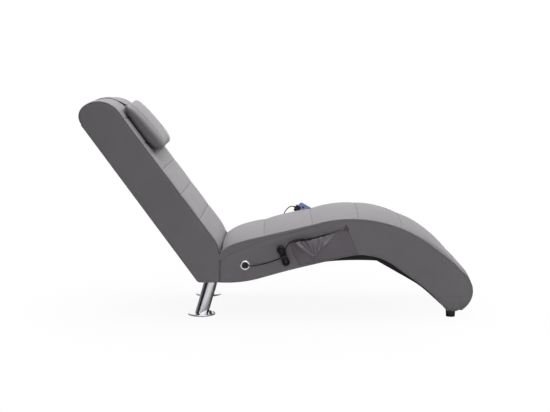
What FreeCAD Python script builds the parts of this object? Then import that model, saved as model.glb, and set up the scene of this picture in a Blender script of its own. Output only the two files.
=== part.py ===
import FreeCAD, Part
import math
import os

from FreeCAD import Vector

# Massage lounger in millimetres: X runs to the foot end, Y across, Z up, with the
# origin on the floor under the middle of its length.

# Side view: a padded slab bent into a reclined back and an S-shaped seat
width = 510.0               # over the two side covers
slab = 150.0                # padded thickness of the back and of the seat
back_angle = 53.5           # slope of the back from level, degrees
back_length = 792.0         # along the rear face up to the top of the nose
back_foot = 80.0            # depth of the flat under the back
nose_rear_round = 50.0      # the front of the nose takes the rest of the slab
seat_height = 275.5         # top of the seat where it meets the back
belly_reach = 53.595527     # joint to where the flat underside turns up along the thigh
thigh_angle = 13.2          # rise of the seat towards the knee, degrees
shin_angle = 35.8           # fall from the knee to the foot end, degrees
knee_reach = 602.6          # joint to the point where the thigh and shin lines meet
knee_round = 513.0
knee_under_round = 220.0
belly_round = 200.0
foot_round = 98.0
foot_line = 14.0            # level that the foot end's round would touch
foot_flat = 24.0            # level at which the side covers are cut off
heel_forward = 0.264410     # heel edge in front of the middle of the foot's round
heel_angle = 48.9           # slope of the heel, degrees
heel_round = 150.0

# Boards, pads and covers
cover = 4.0                 # side covers
rear_cover = 3.0
cheek = 15.0                # plywood cheeks
under_edge = 3.0            # cheeks stand back from the underside by this much
pad = 45.0
end_pad = 12.0              # pads thin to this round the nose and the foot end
seat_crown = 20.0
back_crown = 10.0
end_crown = 4.0
channel = 7.0               # depth of the sewn channels
draw_in = 2.5               # sides of the pads drawn in at the channels
flat_step = 24.0            # sections along the pads, and round their ends
round_step = 11.0
least_share = 0.002         # sections nearer than this share of a channel are one
seat_seam_first = 172.0
seat_seam_pitch = 175.0
seat_seams = 4
back_seam_first = 124.0
back_seam_pitch = 117.0
back_seams = 5
foot_wrap_end = -62.0       # where the pad ends round the foot, degrees
dust_sheet = 1.2
dust_drop = 1.5             # the dust cover hangs this far under the cheeks' edge line
knee_chord_start = 428.0    # the dust cover is stretched straight across the knee
knee_chord_end = 601.0
knee_chord_drop = 19.0      # its far corner lies this far under the shin's line
knee_chord_back = 662.0     # where it meets the shin's line again
seat_fit = 0.3              # soft pieces and screws lie this far from their seats

# Rails and springs
rail_depth = 24.0
rail_length = 50.0
joint_board = 18.0
joint_board_rise = 66.0     # back's board above the underside; the seat's board ends under its pad
foot_board = 18.0
foot_block = 32.0
spring_wire = 3.5
spring_half = 14.0          # straight part of each spring wave, half length
spring_waves = 16
spring_drop = 1.2           # springs lie this far under the pads
back_rail_places = (330.0, 600.0)
seat_rail_places = (250.0, 590.0, 780.0)
back_spring_places = (95.0, 165.0, 240.0, 400.0, 465.0, 530.0)
seat_spring_places = (90.0, 170.0, 350.0, 430.0, 510.0, 690.0)

# Module bolts
bolt_radius = 4.0
bolt_head_radius = 8.0
bolt_head = 5.0
bolt_inset = 46.0           # outer bolts from the cheeks
bolt_inner = 85.0           # inner bolts from the middle
bolt_rise = 46.0            # above the underside

# Rear legs
leg_radius = 25.0
leg_wall = 1.5
leg_tilt = 16.0             # degrees, foot towards the rear
leg_inset = 50.0            # from the side covers
leg_plate = 70.0
leg_plate_thick = 4.0
base_radius = 52.0
base_thick = 6.0
base_round = 2.0
felt = 1.5
felt_radius = 48.0
leg_screw_spread = 28.0
leg_screw_radius = 2.2
leg_screw_head = 4.0
leg_screw_head_thick = 2.5
leg_screw_length = 16.0

# Front feet
foot_radius = 18.5
foot_bottom_radius = 17.0
foot_height = 28.0
foot_forward = 16.264410    # in front of the middle of the foot's round
foot_inset = 28.0           # from the side covers
foot_sink_radius = 6.0
foot_sink = 12.0
foot_screw_head = 5.0
foot_screw_head_thick = 4.0
foot_screw_length = 30.0

# Massage units
motor_radius = 14.0
motor_length = 44.0
motor_block = 34.0
motor_block_width = 30.0
motor_fit = 0.1
shaft_radius = 2.0
shaft_fit = 0.05
shaft_depth = 30.0
weight_radius = 15.0
weight_thick = 12.0
weight_gap = 2.0

# Control box and inner wiring
box_depth = 34.0
box_width = 116.0
box_height = 62.0
box_rise = 16.0             # above the underside
box_wall = 2.5
box_lid = 3.0
board_thick = 1.6
board_margin = 6.0
board_stand = 8.0
wire_radius = 2.5
wire_hole = 6.0
wire_spot = 135.0
wire_bend = 14.0

# Grommets and leads
grommet_x = 92.0            # from the joint
grommet_rise = 65.0         # above the underside
grommet_radius = 18.5
grommet_bore = 10.0
grommet_sleeve = 12.0
grommet_lip = 3.0
cord_radius = 2.0
cord_start_depth = 5.0      # the leads start this far inside the side cover
hank_x = 237.0              # middle of each hank, from the joint
hank_rise = 104.0
hank_lean = 22.6            # degrees from upright, top towards the back
hank_waist = 9.0            # half width of the outer loop at the waist
hank_lobe = 13.0            # radius of the outer loop's ends
hank_reach = 26.0           # from the waist to the middle of each end
hank_pitch = 5.2
hank_layer = 5.0
hank_turns = 6.875
hank_first = 0.125          # the winding starts an eighth of a turn past the waist
hank_tail = 6.0             # straight ends of the winding
entry_run = 16.0            # last run of the lead before the winding
entry_drop = 1.75           # the winding starts this much nearer the side cover
entry_rise = 0.2            # and rises into its first layer at this slope
exit_turn = 12.0            # the winding's end turns outwards, degrees
exit_spread = 0.6
exit_run = 10.0
exit_spot = (245.0, 132.0)  # where the leads leave the hanks
tie_band = 1.2
tie_width = 7.0
tie_fit = 0.4
tie_slack = 1.2             # at the sides, where the loops spread
tie_place = -4.0            # below the waist
tie_gap = 0.3               # tie to the lead that runs behind it
lead_clear = 0.4            # leads lie this far off the side cover
plug_radius = 5.5
plug_length = 30.0
barrel_radius = 2.75
barrel_length = 9.0

# Pockets, corners in X from the joint and in Z from the underside
pocket_depth = 27.0
pocket_sheet = 1.5
pocket_base = ((252.0, 153.0), (474.0, 211.0), (520.0, 112.0), (298.0, 77.0))
pocket_front = ((293.0, 156.0), (459.0, 196.0), (493.0, 130.0), (328.0, 100.0))
pocket_mouth = 30.0         # the inside is cut through the top by this much

# Handset in the far pocket
hand_x = 296.0              # middle of the cable end, from the joint
hand_rise = 228.2           # above the underside
hand_lean = 30.0            # degrees below level, towards the foot end
hand_length = 165.0
hand_width = 48.0
hand_thick = 20.0
hand_round = 9.0
hand_wall = 2.0
hand_gap = 3.5              # face to side cover
hand_end = 14.0             # plain black end before the face plate
face_thick = 2.5
face_rim = 2.5
face_ledge = 1.5
button_places = (40.0, 74.0, 102.0, 130.0)
button_radii = (8.0, 6.0, 6.0, 6.0)
button_rise = 1.6
button_fit = 0.15
button_flange = 1.5
button_flange_thick = 1.5
button_travel = 1.2
stem_radius = 2.0
hand_board = 8.0            # front of the handset's board behind the face
relief_length = 12.0
relief_root = 4.5
relief_tip = 3.0
post_radius = 2.5

# Pillow and strap
pillow_gap = 86.0           # its upper edge below the top of the back
pillow_length = 212.0       # along the back
pillow_inset = 79.0         # its ends from the side covers
pillow_thick_low = 42.0
pillow_thick_high = 24.0
pillow_end_thick = 0.42     # share of the thickness left at the two ends
pillow_bulge = 9.0
pillow_fit = 0.6
strap_width = 90.0
strap_thick = 3.0
strap_fit = 0.8
strap_tail = 130.0          # length down the rear
strap_sewn = 3.9            # its front end lies against the bulge of the pillow's upper edge


def tan(degrees):
    return math.tan(math.radians(degrees))


def sin(degrees):
    return math.sin(math.radians(degrees))


def cos(degrees):
    return math.cos(math.radians(degrees))


# Places along X that follow from the side view
knee_z = seat_height + tan(thigh_angle) * knee_reach
belly_height = seat_height + tan(thigh_angle) * belly_reach - slab / cos(thigh_angle)
foot_middle_z = foot_line + foot_round
foot_middle = knee_reach - (foot_round + (foot_middle_z - knee_z) * cos(shin_angle)) / sin(shin_angle)
front_reach = foot_middle + foot_round
heel_reach = foot_middle + heel_forward
foot_place = foot_middle + foot_forward
rear_reach = (back_foot + (back_length - nose_rear_round) * cos(back_angle)
              - nose_rear_round * sin(back_angle) + nose_rear_round)
joint = (rear_reach - front_reach) / 2
half = width / 2
inner = half - cover
clear = inner - cheek
leg_side = half - leg_inset
foot_side = half - foot_inset
pillow_half = half - pillow_inset
pillow_high = back_length - pillow_gap
pillow_low = pillow_high - pillow_length
bolt_outer = clear - bolt_inset
bolt_spots = (-bolt_outer, -bolt_inner, bolt_inner, bolt_outer)
bolt_height = belly_height + bolt_rise
joint_board_top = belly_height + joint_board_rise
box_bottom = belly_height + box_rise
grommet_z = belly_height + grommet_rise
hank_z = belly_height + hank_rise
hand_z = belly_height + hand_rise

shapes = {}


def at(x, z, y=0.0):
    """Point from a place measured from the joint along X."""
    return Vector(joint + x, y, z)


def side_at(x, rise, y):
    """Point beside the seat: x from the joint, rise from the underside."""
    return at(x, belly_height + rise, y)


def back_at(u, v, y=0.0):
    """Point on the back: u up its rear face, v forward from it."""
    return at(-back_foot - u * cos(back_angle) + v * sin(back_angle),
              belly_height + u * sin(back_angle) + v * cos(back_angle), y)


back_up = Vector(-cos(back_angle), 0, sin(back_angle))


def crossing(p, slope_p, q, slope_q):
    """Corner where two lines of the side view meet; slopes in degrees."""
    d = Vector(cos(slope_p), 0, sin(slope_p))
    e = Vector(cos(slope_q), 0, sin(slope_q))
    w = q - p
    along = (w.x * e.z - w.z * e.x) / (d.x * e.z - d.z * e.x)
    return p + d * along


def fillet_corner(before, corner, after, radius):
    """Start, middle and end of the arc that rounds a corner."""
    to_before = (before - corner).normalize()
    to_after = (after - corner).normalize()
    half_angle = to_before.getAngle(to_after) / 2
    reach = radius / math.tan(half_angle)
    bisector = (to_before + to_after).normalize()
    middle = corner + bisector * (radius / math.sin(half_angle) - radius)
    return corner + to_before * reach, middle, corner + to_after * reach


def route_edges(points, radii, closed):
    """Straight runs joined by tangent arcs; a radius of 0 keeps a sharp corner."""
    count = len(points)
    starts = []
    arcs = []
    ends = []
    for i in range(count):
        if radii[i] and (closed or 0 < i < count - 1):
            arc = fillet_corner(points[i - 1], points[i], points[(i + 1) % count], radii[i])
            starts.append(arc[0])
            arcs.append(arc)
            ends.append(arc[2])
        else:
            starts.append(points[i])
            arcs.append(None)
            ends.append(points[i])
    edges = []
    for i in range(count):
        if arcs[i]:
            edges.append(Part.Arc(*arcs[i]).toShape())
        j = (i + 1) % count
        if (closed or i < count - 1) and (starts[j] - ends[i]).Length > 1e-6:
            edges.append(Part.LineSegment(ends[i], starts[j]).toShape())
    return edges


def plate(corners, low, high):
    """Board between two Y levels from rounded corners of the side view."""
    points = [corner[0] for corner in corners]
    radii = [corner[1] for corner in corners]
    face = Part.Face(Part.Wire(route_edges(points, radii, True)))
    face.translate(Vector(0, low, 0))
    return face.extrude(Vector(0, high - low, 0))


def box_between(low, high):
    size = high - low
    return Part.makeBox(size.x, size.y, size.z, low)


def tube_on(edges, radius):
    """Round tube along a chain of edges."""
    path = Part.Wire(edges)
    start = edges[0].Vertexes[0].Point
    heading = edges[0].tangentAt(edges[0].FirstParameter)
    ring = Part.Wire(Part.makeCircle(radius, start, heading))
    shell = Part.BRepOffsetAPI.MakePipeShell(path)
    shell.add(ring)
    shell.build()
    shell.makeSolid()
    return shell.shape()


def soft_radii(points):
    """Largest arcs that the runs of a lead allow."""
    radii = [0.0]
    for before, here, after in zip(points, points[1:], points[2:]):
        turn = (here - before).getAngle(after - here)
        run = min((here - before).Length, (after - here).Length)
        radii.append(0.45 * run / math.tan(turn / 2))
    radii.append(0.0)
    return radii


def mirror_y(shape):
    return shape.mirror(Vector(0, 0, 0), Vector(0, 1, 0))


def axis_frame(origin, along, up):
    """Placement with X along one direction and Z along another."""
    side = up.cross(along)
    rotation = FreeCAD.Rotation(along, side, up, "ZXY")
    return FreeCAD.Placement(origin, rotation)


class Track:
    """Top line of a pad in the side view, walked by length."""

    def __init__(self, points, radii):
        self.edges = route_edges(points, radii, False)
        self.length = sum(edge.Length for edge in self.edges)

    def place(self, distance):
        """Point, heading and outward normal at a distance along the line."""
        for edge in self.edges:
            if distance <= edge.Length or edge is self.edges[-1]:
                break
            distance -= edge.Length
        parameter = edge.getParameterByLength(distance)
        heading = edge.tangentAt(parameter)
        return edge.valueAt(parameter), heading, Vector(-heading.z, 0, heading.x)


# Corner points of the side view
thigh_start = at(0, seat_height)
knee_top = at(knee_reach, knee_z)
foot_corner = crossing(knee_top, -shin_angle, at(0, foot_line), 0)
thigh_under = thigh_start + Vector(sin(thigh_angle), 0, -cos(thigh_angle)) * slab
shin_under = knee_top + Vector(-sin(shin_angle), 0, -cos(shin_angle)) * slab
belly_corner = crossing(at(0, belly_height), 0, thigh_under, thigh_angle)
knee_under = crossing(thigh_under, thigh_angle, shin_under, -shin_angle)
heel_edge = at(heel_reach, foot_flat)
heel_top = crossing(shin_under, -shin_angle, heel_edge, -heel_angle)
heel_low = crossing(heel_edge, -heel_angle, at(0, foot_line), 0)
back_front_foot = crossing(back_at(0, slab), 180 - back_angle, at(0, 0), 90)

seat_track = Track([thigh_start, knee_top, foot_corner, heel_low], [0, knee_round, foot_round, 0])
back_track = Track([back_front_foot, back_at(back_length, slab), back_at(back_length, 0), back_at(0, 0)],
                   [0, slab - nose_rear_round, nose_rear_round, 0])
# The seat's line is walked towards the foot, so its outward side lies to the left;
# the back's is walked upwards and over the nose, so its outward side lies to the right.


def station(track, distance):
    """Point, heading and outward normal of a pad's top line."""
    point, heading, normal = track.place(distance)
    if track is back_track:
        normal = normal * -1
    return point, heading, normal


def pad_section(place, depth, side, drop, crown):
    """Closed section across a pad: flat bed, straight sides and a crowned top."""
    point, heading, normal = place
    bed = point - normal * depth
    edge = point - normal * drop
    top = point + normal * crown
    across = Vector(0, side, 0)
    lines = [Part.LineSegment(bed - across, bed + across), Part.LineSegment(bed + across, edge + across),
             Part.Arc(edge + across, top, edge - across), Part.LineSegment(edge - across, bed - across)]
    return Part.Wire([line.toShape() for line in lines])


def make_pad(track, end, seams, crown, fade_from, thin_from, thin_to):
    """Channelled cushion lofted from section to section along a track."""
    stops = [0.0] + seams + [end]
    sections = []
    for low, high in zip(stops, stops[1:]):
        step = round_step if high == end else flat_step
        count = math.ceil((high - low) / step)
        shares = [0.0, 0.05] + [i / count for i in range(1, count)] + [0.95]
        if high == end:
            shares.append(1.0)
        shares.sort()
        spread = [share for before, share in zip([-1.0] + shares, shares) if share - before > least_share]
        for share in spread:
            distance = low + (high - low) * share
            full = 1 - (2 * share - 1) ** 6
            fade = min(1.0, max(0.0, (distance - fade_from) / (end - fade_from)))
            thin = min(1.0, max(0.0, (distance - thin_from) / (thin_to - thin_from)))
            peak = crown + (end_crown - crown) * fade
            sink = channel * (1 - fade)
            depth = pad + (end_pad - pad) * thin
            side = inner - seat_fit - draw_in * (1 - full)
            sections.append(pad_section(station(track, distance), depth, side,
                                        0.15 * sink * (1 - full), peak - sink * (1 - full)))
    return Part.makeLoft(sections, True, True)


# Seat pad, wrapped round the foot end
thigh_length = seat_track.edges[0].Length
knee_length = seat_track.edges[1].Length
shin_length = seat_track.edges[2].Length
wrap = math.radians(90 - shin_angle - foot_wrap_end) * foot_round
seat_shin = thigh_length + knee_length + shin_length
seat_seam_places = [seat_seam_first + seat_seam_pitch * i for i in range(seat_seams)]
seat_end = seat_shin + wrap
seat_joint_cut = box_between(at(seat_fit, 0, -width), at(2 * front_reach, 2 * knee_z, width))
seat_pad = make_pad(seat_track, seat_end, seat_seam_places, seat_crown, seat_seam_places[-1],
                    seat_shin, seat_end)
shapes["seat_pad"] = seat_pad.common(seat_joint_cut)

# Back pad, wrapped over the nose
back_straight = back_track.edges[0].Length
nose_length = back_track.edges[1].Length + back_track.edges[2].Length
back_seam_places = [back_seam_first + back_seam_pitch * i for i in range(back_seams)]
back_end = back_straight + nose_length
back_joint_cut = box_between(at(-2 * rear_reach, 0, -width), at(-seat_fit, 2 * back_length, width))
back_pad = make_pad(back_track, back_end, back_seam_places, back_crown, back_straight,
                    back_straight + back_track.edges[1].Length, back_end)
shapes["back_pad"] = back_pad.common(back_joint_cut)


def side_pair(name, solid):
    """The piece on the +Y side and its mirror image."""
    shapes[name + "_far"] = solid
    shapes[name + "_near"] = mirror_y(solid)


# Side covers over the whole side view
seat_outline = [(at(0, belly_height), 0), (belly_corner, belly_round), (knee_under, knee_under_round),
                (heel_top, heel_round), (heel_low, 0), (foot_corner, foot_round), (knee_top, knee_round),
                (thigh_start, 0)]
back_outline = [(back_at(0, 0), end_pad), (at(0, belly_height), 0), (back_front_foot, 0),
                (back_at(back_length, slab), slab - nose_rear_round),
                (back_at(back_length, 0), nose_rear_round)]
above_flat = box_between(at(-rear_reach, foot_flat, -width), at(2 * front_reach, 2 * knee_z, width))
eyelet = Part.makeCylinder(grommet_sleeve + seat_fit, width, at(grommet_x, grommet_z), Vector(0, 1, 0))
seat_cover = plate(seat_outline, inner, half).common(above_flat)
side_pair("seat_side_cover", seat_cover.cut(eyelet))
side_pair("back_side_cover", plate(back_outline, inner, half))

# Cheek boards under the pads
bed = pad + seat_fit
edge_up = Vector(0, 0, under_edge)
thigh_bed = thigh_start + Vector(sin(thigh_angle), 0, -cos(thigh_angle)) * bed
shin_bed = knee_top + Vector(-sin(shin_angle), 0, -cos(shin_angle)) * bed
knee_bed = crossing(thigh_bed, thigh_angle, shin_bed, -shin_angle)
thigh_lift = thigh_under + Vector(-sin(thigh_angle), 0, cos(thigh_angle)) * under_edge
shin_lift = shin_under + Vector(sin(shin_angle), 0, cos(shin_angle)) * under_edge
heel_lift = heel_edge + Vector(sin(heel_angle), 0, cos(heel_angle)) * under_edge
toe = foot_middle + foot_round - pad - end_pad
seat_cheek_outline = [
    (at(0, belly_height) + edge_up, 0),
    (crossing(at(0, belly_height) + edge_up, 0, thigh_lift, thigh_angle), belly_round),
    (crossing(thigh_lift, thigh_angle, shin_lift, -shin_angle), knee_under_round - under_edge),
    (crossing(shin_lift, -shin_angle, heel_lift, -heel_angle), heel_round),
    (crossing(heel_lift, -heel_angle, at(0, foot_height), 0), 0),
    (at(toe, foot_height), foot_round / 4),
    (crossing(at(toe, 0), 90, shin_bed, -shin_angle), foot_round / 3),
    (knee_bed, knee_round - bed),
    (crossing(thigh_bed, thigh_angle, at(0, 0), 90), 0)]
seat_cheek = plate(seat_cheek_outline, clear, inner)
side_pair("seat_cheek", seat_cheek.cut(eyelet))
back_bed = slab - bed
back_cheek_outline = [
    (back_at(under_edge / sin(back_angle), rear_cover), end_pad / 2),
    (at(0, belly_height) + edge_up, 0),
    (crossing(back_at(0, back_bed), 180 - back_angle, at(0, 0), 90), 0),
    (back_at(back_length - bed, back_bed), slab - nose_rear_round - bed),
    (back_at(back_length - bed, rear_cover), nose_rear_round - rear_cover - seat_fit)]
side_pair("back_cheek", plate(back_cheek_outline, clear, inner))

# Rear cover between the side covers
rear_top = back_length - nose_rear_round - seat_fit
rear_sheet = [(back_at(end_pad, 0), 0), (back_at(end_pad, rear_cover), 0), (back_at(rear_top, rear_cover), 0),
              (back_at(rear_top, 0), 0)]
shapes["back_rear_cover"] = plate(rear_sheet, -inner + seat_fit, inner - seat_fit)


def rail_at(track, distance):
    """Cross rail under the springs, square to the pad's line, and its lower face's frame."""
    point, heading, normal = station(track, distance)
    top = point - normal * (pad + 2 * spring_drop + spring_wire)
    low = top - normal * rail_depth
    along = heading * (rail_length / 2)
    corners = [(top - along, 0), (top + along, 0), (low + along, 0), (low - along, 0)]
    return plate(corners, -clear, clear), (low, heading, normal)


# Boards at the joint, bolted together
bolt_bore = bolt_radius + seat_fit


def joint_hole(radius, y):
    return Part.makeCylinder(radius, 4 * joint_board, at(-2 * joint_board, bolt_height, y), Vector(1, 0, 0))


bolt_holes = [joint_hole(bolt_bore, y) for y in bolt_spots]
wire_way = joint_hole(wire_hole, wire_spot)
board_floor = belly_height + under_edge
foot_board_top = board_floor + foot_board
back_low_rail = box_between(at(-joint_board, foot_board_top, -clear), at(0, joint_board_top, clear))
seat_board_top = seat_height - bed / cos(thigh_angle)
seat_rear_rail = box_between(at(0, board_floor, -clear), at(joint_board, seat_board_top, clear))
for hole in bolt_holes + [wire_way]:
    back_low_rail = back_low_rail.cut(hole)
    seat_rear_rail = seat_rear_rail.cut(hole)

# Foot board over the legs
leg_top = at(-back_foot / 2, belly_height)
foot_rear = -back_foot + (rear_cover + 1) / sin(back_angle) - foot_board / tan(back_angle) + foot_board
foot_plank = box_between(at(foot_rear, board_floor, -clear), at(0, foot_board_top, clear))
leg_screws = []
for side in (-leg_side, leg_side):
    for dx in (-leg_screw_spread, leg_screw_spread):
        for dy in (-leg_screw_spread, leg_screw_spread):
            leg_screws.append(Vector(leg_top.x + dx, side + dy, 0))
plate_floor = board_floor - leg_plate_thick
for spot in leg_screws:
    hole = Part.makeCylinder(leg_screw_radius + seat_fit, 2 * leg_screw_length,
                             spot + Vector(0, 0, plate_floor))
    foot_plank = foot_plank.cut(hole)

back_rails = [back_low_rail, foot_plank]
back_mounts = []
for place in back_rail_places:
    rail, mount = rail_at(back_track, place)
    back_rails.append(rail)
    back_mounts.append(mount)
shapes["back_rails"] = Part.makeCompound(back_rails)

# Foot block between the seat's cheeks, over the front feet
block_rear = at(foot_place - foot_block / 2, foot_height, -clear)
foot_rail = box_between(block_rear, block_rear + Vector(foot_block, 2 * clear, foot_block))
foot_spots = [at(foot_place, 0, side) for side in (-foot_side, foot_side)]
for spot in foot_spots:
    foot_rail = foot_rail.cut(Part.makeCylinder(leg_screw_radius + seat_fit, 2 * foot_screw_length, spot))
seat_rails = [seat_rear_rail, foot_rail]
seat_mounts = []
for place in seat_rail_places:
    rail, mount = rail_at(seat_track, place)
    seat_rails.append(rail)
    seat_mounts.append(mount)
shapes["seat_rails"] = Part.makeCompound(seat_rails)


def sinuous_spring(track, distance):
    """Zigzag wire from cheek to cheek in the plane under the pad."""
    point, heading, normal = station(track, distance)
    middle = point - normal * (pad + spring_drop + spring_wire / 2)
    wave = clear / spring_waves
    edges = []
    bend = math.sqrt(0.5) * wave

    def spot(along, y):
        return middle + heading * along + Vector(0, y, 0)

    y = -clear
    side = -1
    edges.append(Part.Arc(spot(side * (spring_half + wave), y),
                          spot(side * (spring_half + wave - (wave - bend)), y + bend),
                          spot(side * spring_half, y + wave)).toShape())
    for number in range(spring_waves):
        y = -clear + wave + 2 * wave * number
        edges.append(Part.LineSegment(spot(side * spring_half, y), spot(-side * spring_half, y)).toShape())
        side = -side
        if number < spring_waves - 1:
            edges.append(Part.Arc(spot(side * spring_half, y), spot(side * (spring_half + wave), y + wave),
                                  spot(side * spring_half, y + 2 * wave)).toShape())
    edges.append(Part.Arc(spot(side * spring_half, y), spot(side * (spring_half + bend), y + wave - bend),
                          spot(side * (spring_half + wave), y + wave)).toShape())
    return tube_on(edges, spring_wire / 2)


shapes["back_springs"] = Part.makeCompound([sinuous_spring(back_track, d) for d in back_spring_places])
shapes["seat_springs"] = Part.makeCompound([sinuous_spring(seat_track, d) for d in seat_spring_places])

# Module bolts and their nuts
bolts = []
nuts = []
for y in bolt_spots:
    head = Part.makeCylinder(bolt_head_radius, bolt_head, at(joint_board, bolt_height, y), Vector(1, 0, 0))
    shank_length = 2 * joint_board + 2 * bolt_head
    shank = Part.makeCylinder(bolt_radius, shank_length, at(joint_board - shank_length, bolt_height, y),
                              Vector(1, 0, 0))
    bolts.append(head.fuse(shank))
    ring = Part.makePolygon([at(-joint_board, bolt_height, y)
                             + Vector(0, bolt_head_radius * cos(60 * i), bolt_head_radius * sin(60 * i))
                             for i in range(7)])
    nut = Part.Face(ring).extrude(Vector(-bolt_head, 0, 0))
    nuts.append(nut.cut(joint_hole(bolt_bore, y)))
shapes["joint_bolts"] = Part.makeCompound(bolts)
shapes["joint_nuts"] = Part.makeCompound(nuts)

# Dust cover: along the thigh, straight across the knee and down the shin
thigh_dust = thigh_under + Vector(sin(thigh_angle), 0, -cos(thigh_angle)) * dust_drop
shin_dust = shin_under + Vector(-sin(shin_angle), 0, -cos(shin_angle)) * dust_drop
belly_dust = at(joint_board, belly_height - dust_drop)


def on_line(start, slope, x):
    """Point of a sloped line at a distance from the joint."""
    return Vector(joint + x, 0, start.z + (joint + x - start.x) * tan(slope))


dust_path = [belly_dust, crossing(belly_dust, 0, thigh_dust, thigh_angle),
             on_line(thigh_dust, thigh_angle, knee_chord_start),
             on_line(shin_dust, -shin_angle, knee_chord_end) - Vector(0, 0, knee_chord_drop),
             on_line(shin_dust, -shin_angle, knee_chord_back),
             crossing(shin_dust, -shin_angle, heel_edge, -heel_angle),
             heel_edge + Vector(-cos(heel_angle), 0, sin(heel_angle)) * end_pad]
lower = [(point, 0) for point in dust_path]
upper = [(point + Vector(0, 0, dust_sheet), 0) for point in reversed(dust_path)]
shapes["dust_cover"] = plate(lower + upper, -inner + seat_fit, inner - seat_fit)

# Rear legs
leg_base_top = felt + base_thick
leg_run = plate_floor - leg_base_top
leg_foot = Vector(leg_top.x - leg_run * tan(leg_tilt), 0, leg_base_top)
lean = Vector(leg_run * tan(leg_tilt), 0, leg_run)


def slanted_disc(radius, middle):
    """Level cut through a round tube that leans in the side view."""
    return Part.Ellipse(middle + Vector(radius / cos(leg_tilt), 0, 0), middle + Vector(0, radius, 0), middle)


for name, side in (("near", -leg_side), ("far", leg_side)):
    middle = leg_foot + Vector(0, side, 0)
    outside = Part.Face(Part.Wire(slanted_disc(leg_radius, middle).toShape())).extrude(lean)
    bore = Part.Face(Part.Wire(slanted_disc(leg_radius - leg_wall, middle).toShape())).extrude(lean)
    shapes["leg_tube_" + name] = outside.cut(bore)
    disc = Part.makeCylinder(base_radius, base_thick, middle - Vector(0, 0, base_thick))
    rim = [edge for edge in disc.Edges if abs(edge.CenterOfMass.z - leg_base_top) < 1e-6]
    shapes["leg_base_" + name] = disc.makeFillet(base_round, rim)

plates = []
felts = []
for side in (-leg_side, leg_side):
    low = Vector(leg_top.x - leg_plate / 2, side - leg_plate / 2, plate_floor)
    steel = box_between(low, low + Vector(leg_plate, leg_plate, leg_plate_thick))
    for spot in leg_screws:
        steel = steel.cut(Part.makeCylinder(leg_screw_radius + seat_fit, 2 * leg_plate_thick,
                                            spot + Vector(0, 0, plate_floor - leg_plate_thick / 2)))
    plates.append(steel)
    felts.append(Part.makeCylinder(felt_radius, felt, Vector(leg_foot.x, side, 0)))
shapes["leg_top_plates"] = Part.makeCompound(plates)
shapes["leg_felts"] = Part.makeCompound(felts)
screws = []
for spot in leg_screws:
    head = Part.makeCylinder(leg_screw_head, leg_screw_head_thick,
                             spot + Vector(0, 0, plate_floor - leg_screw_head_thick))
    shank = Part.makeCylinder(leg_screw_radius, leg_screw_length, spot + Vector(0, 0, plate_floor))
    screws.append(head.fuse(shank))
shapes["leg_screws"] = Part.makeCompound(screws)

# Front feet
feet = []
foot_screws = []
for spot in foot_spots:
    foot = Part.makeCone(foot_bottom_radius, foot_radius, foot_height, spot)
    foot = foot.cut(Part.makeCylinder(foot_sink_radius, foot_sink, spot))
    foot = foot.cut(Part.makeCylinder(leg_screw_radius + seat_fit, foot_height, spot))
    feet.append(foot)
    head = Part.makeCylinder(foot_screw_head, foot_screw_head_thick,
                             spot + Vector(0, 0, foot_sink - foot_screw_head_thick))
    shank = Part.makeCylinder(leg_screw_radius, foot_screw_length, spot + Vector(0, 0, foot_sink))
    foot_screws.append(head.fuse(shank))
shapes["front_feet"] = Part.makeCompound(feet)
shapes["front_foot_screws"] = Part.makeCompound(foot_screws)

# Massage units under the cross rails, motors lying across
unit_names = ("lumbar", "upper_back", "thigh", "knee", "calf")
blocks = []
cans = []
unit_axes = []
for name, (low, heading, normal) in zip(unit_names, back_mounts + seat_mounts):
    middle = low - normal * (motor_block / 2)
    unit_axes.append((middle, heading))
    lie = Vector(0, 1, 0)
    along = heading * (motor_block / 2)
    deep = normal * motor_block
    corners = [(low - along, 0), (low + along, 0), (low + along - deep, 0), (low - along - deep, 0)]
    block = plate(corners, -motor_block_width / 2, motor_block_width / 2)
    blocks.append(block.cut(Part.makeCylinder(motor_radius + motor_fit, 2 * motor_length,
                                              middle - lie * motor_length, lie)))
    can = Part.makeCylinder(motor_radius, motor_length, middle - lie * (motor_length / 2), lie)
    face = middle + lie * (motor_length / 2)
    cans.append(can.cut(Part.makeCylinder(shaft_radius + shaft_fit, shaft_depth + shaft_fit,
                                          face - lie * (shaft_depth + shaft_fit), lie)))
    shaft_length = shaft_depth + weight_gap + weight_thick
    shaft = Part.makeCylinder(shaft_radius, shaft_length, face - lie * shaft_depth, lie)
    disc = Part.makeCylinder(weight_radius, weight_thick, face + lie * weight_gap, lie)
    spare = Part.makeBox(4 * weight_radius, 4 * weight_thick, 2 * weight_radius,
                         Vector(-2 * weight_radius, -2 * weight_thick, shaft_radius * 0.5))
    spare.Placement = FreeCAD.Placement(face, FreeCAD.Rotation())
    shapes["rotor_" + name] = disc.cut(spare).fuse(shaft)
    print("unit", name, "axis x %.3f z %.3f" % (middle.x, middle.z))
shapes["motor_blocks"] = Part.makeCompound(blocks)
shapes["motors"] = Part.makeCompound(cans)

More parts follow.
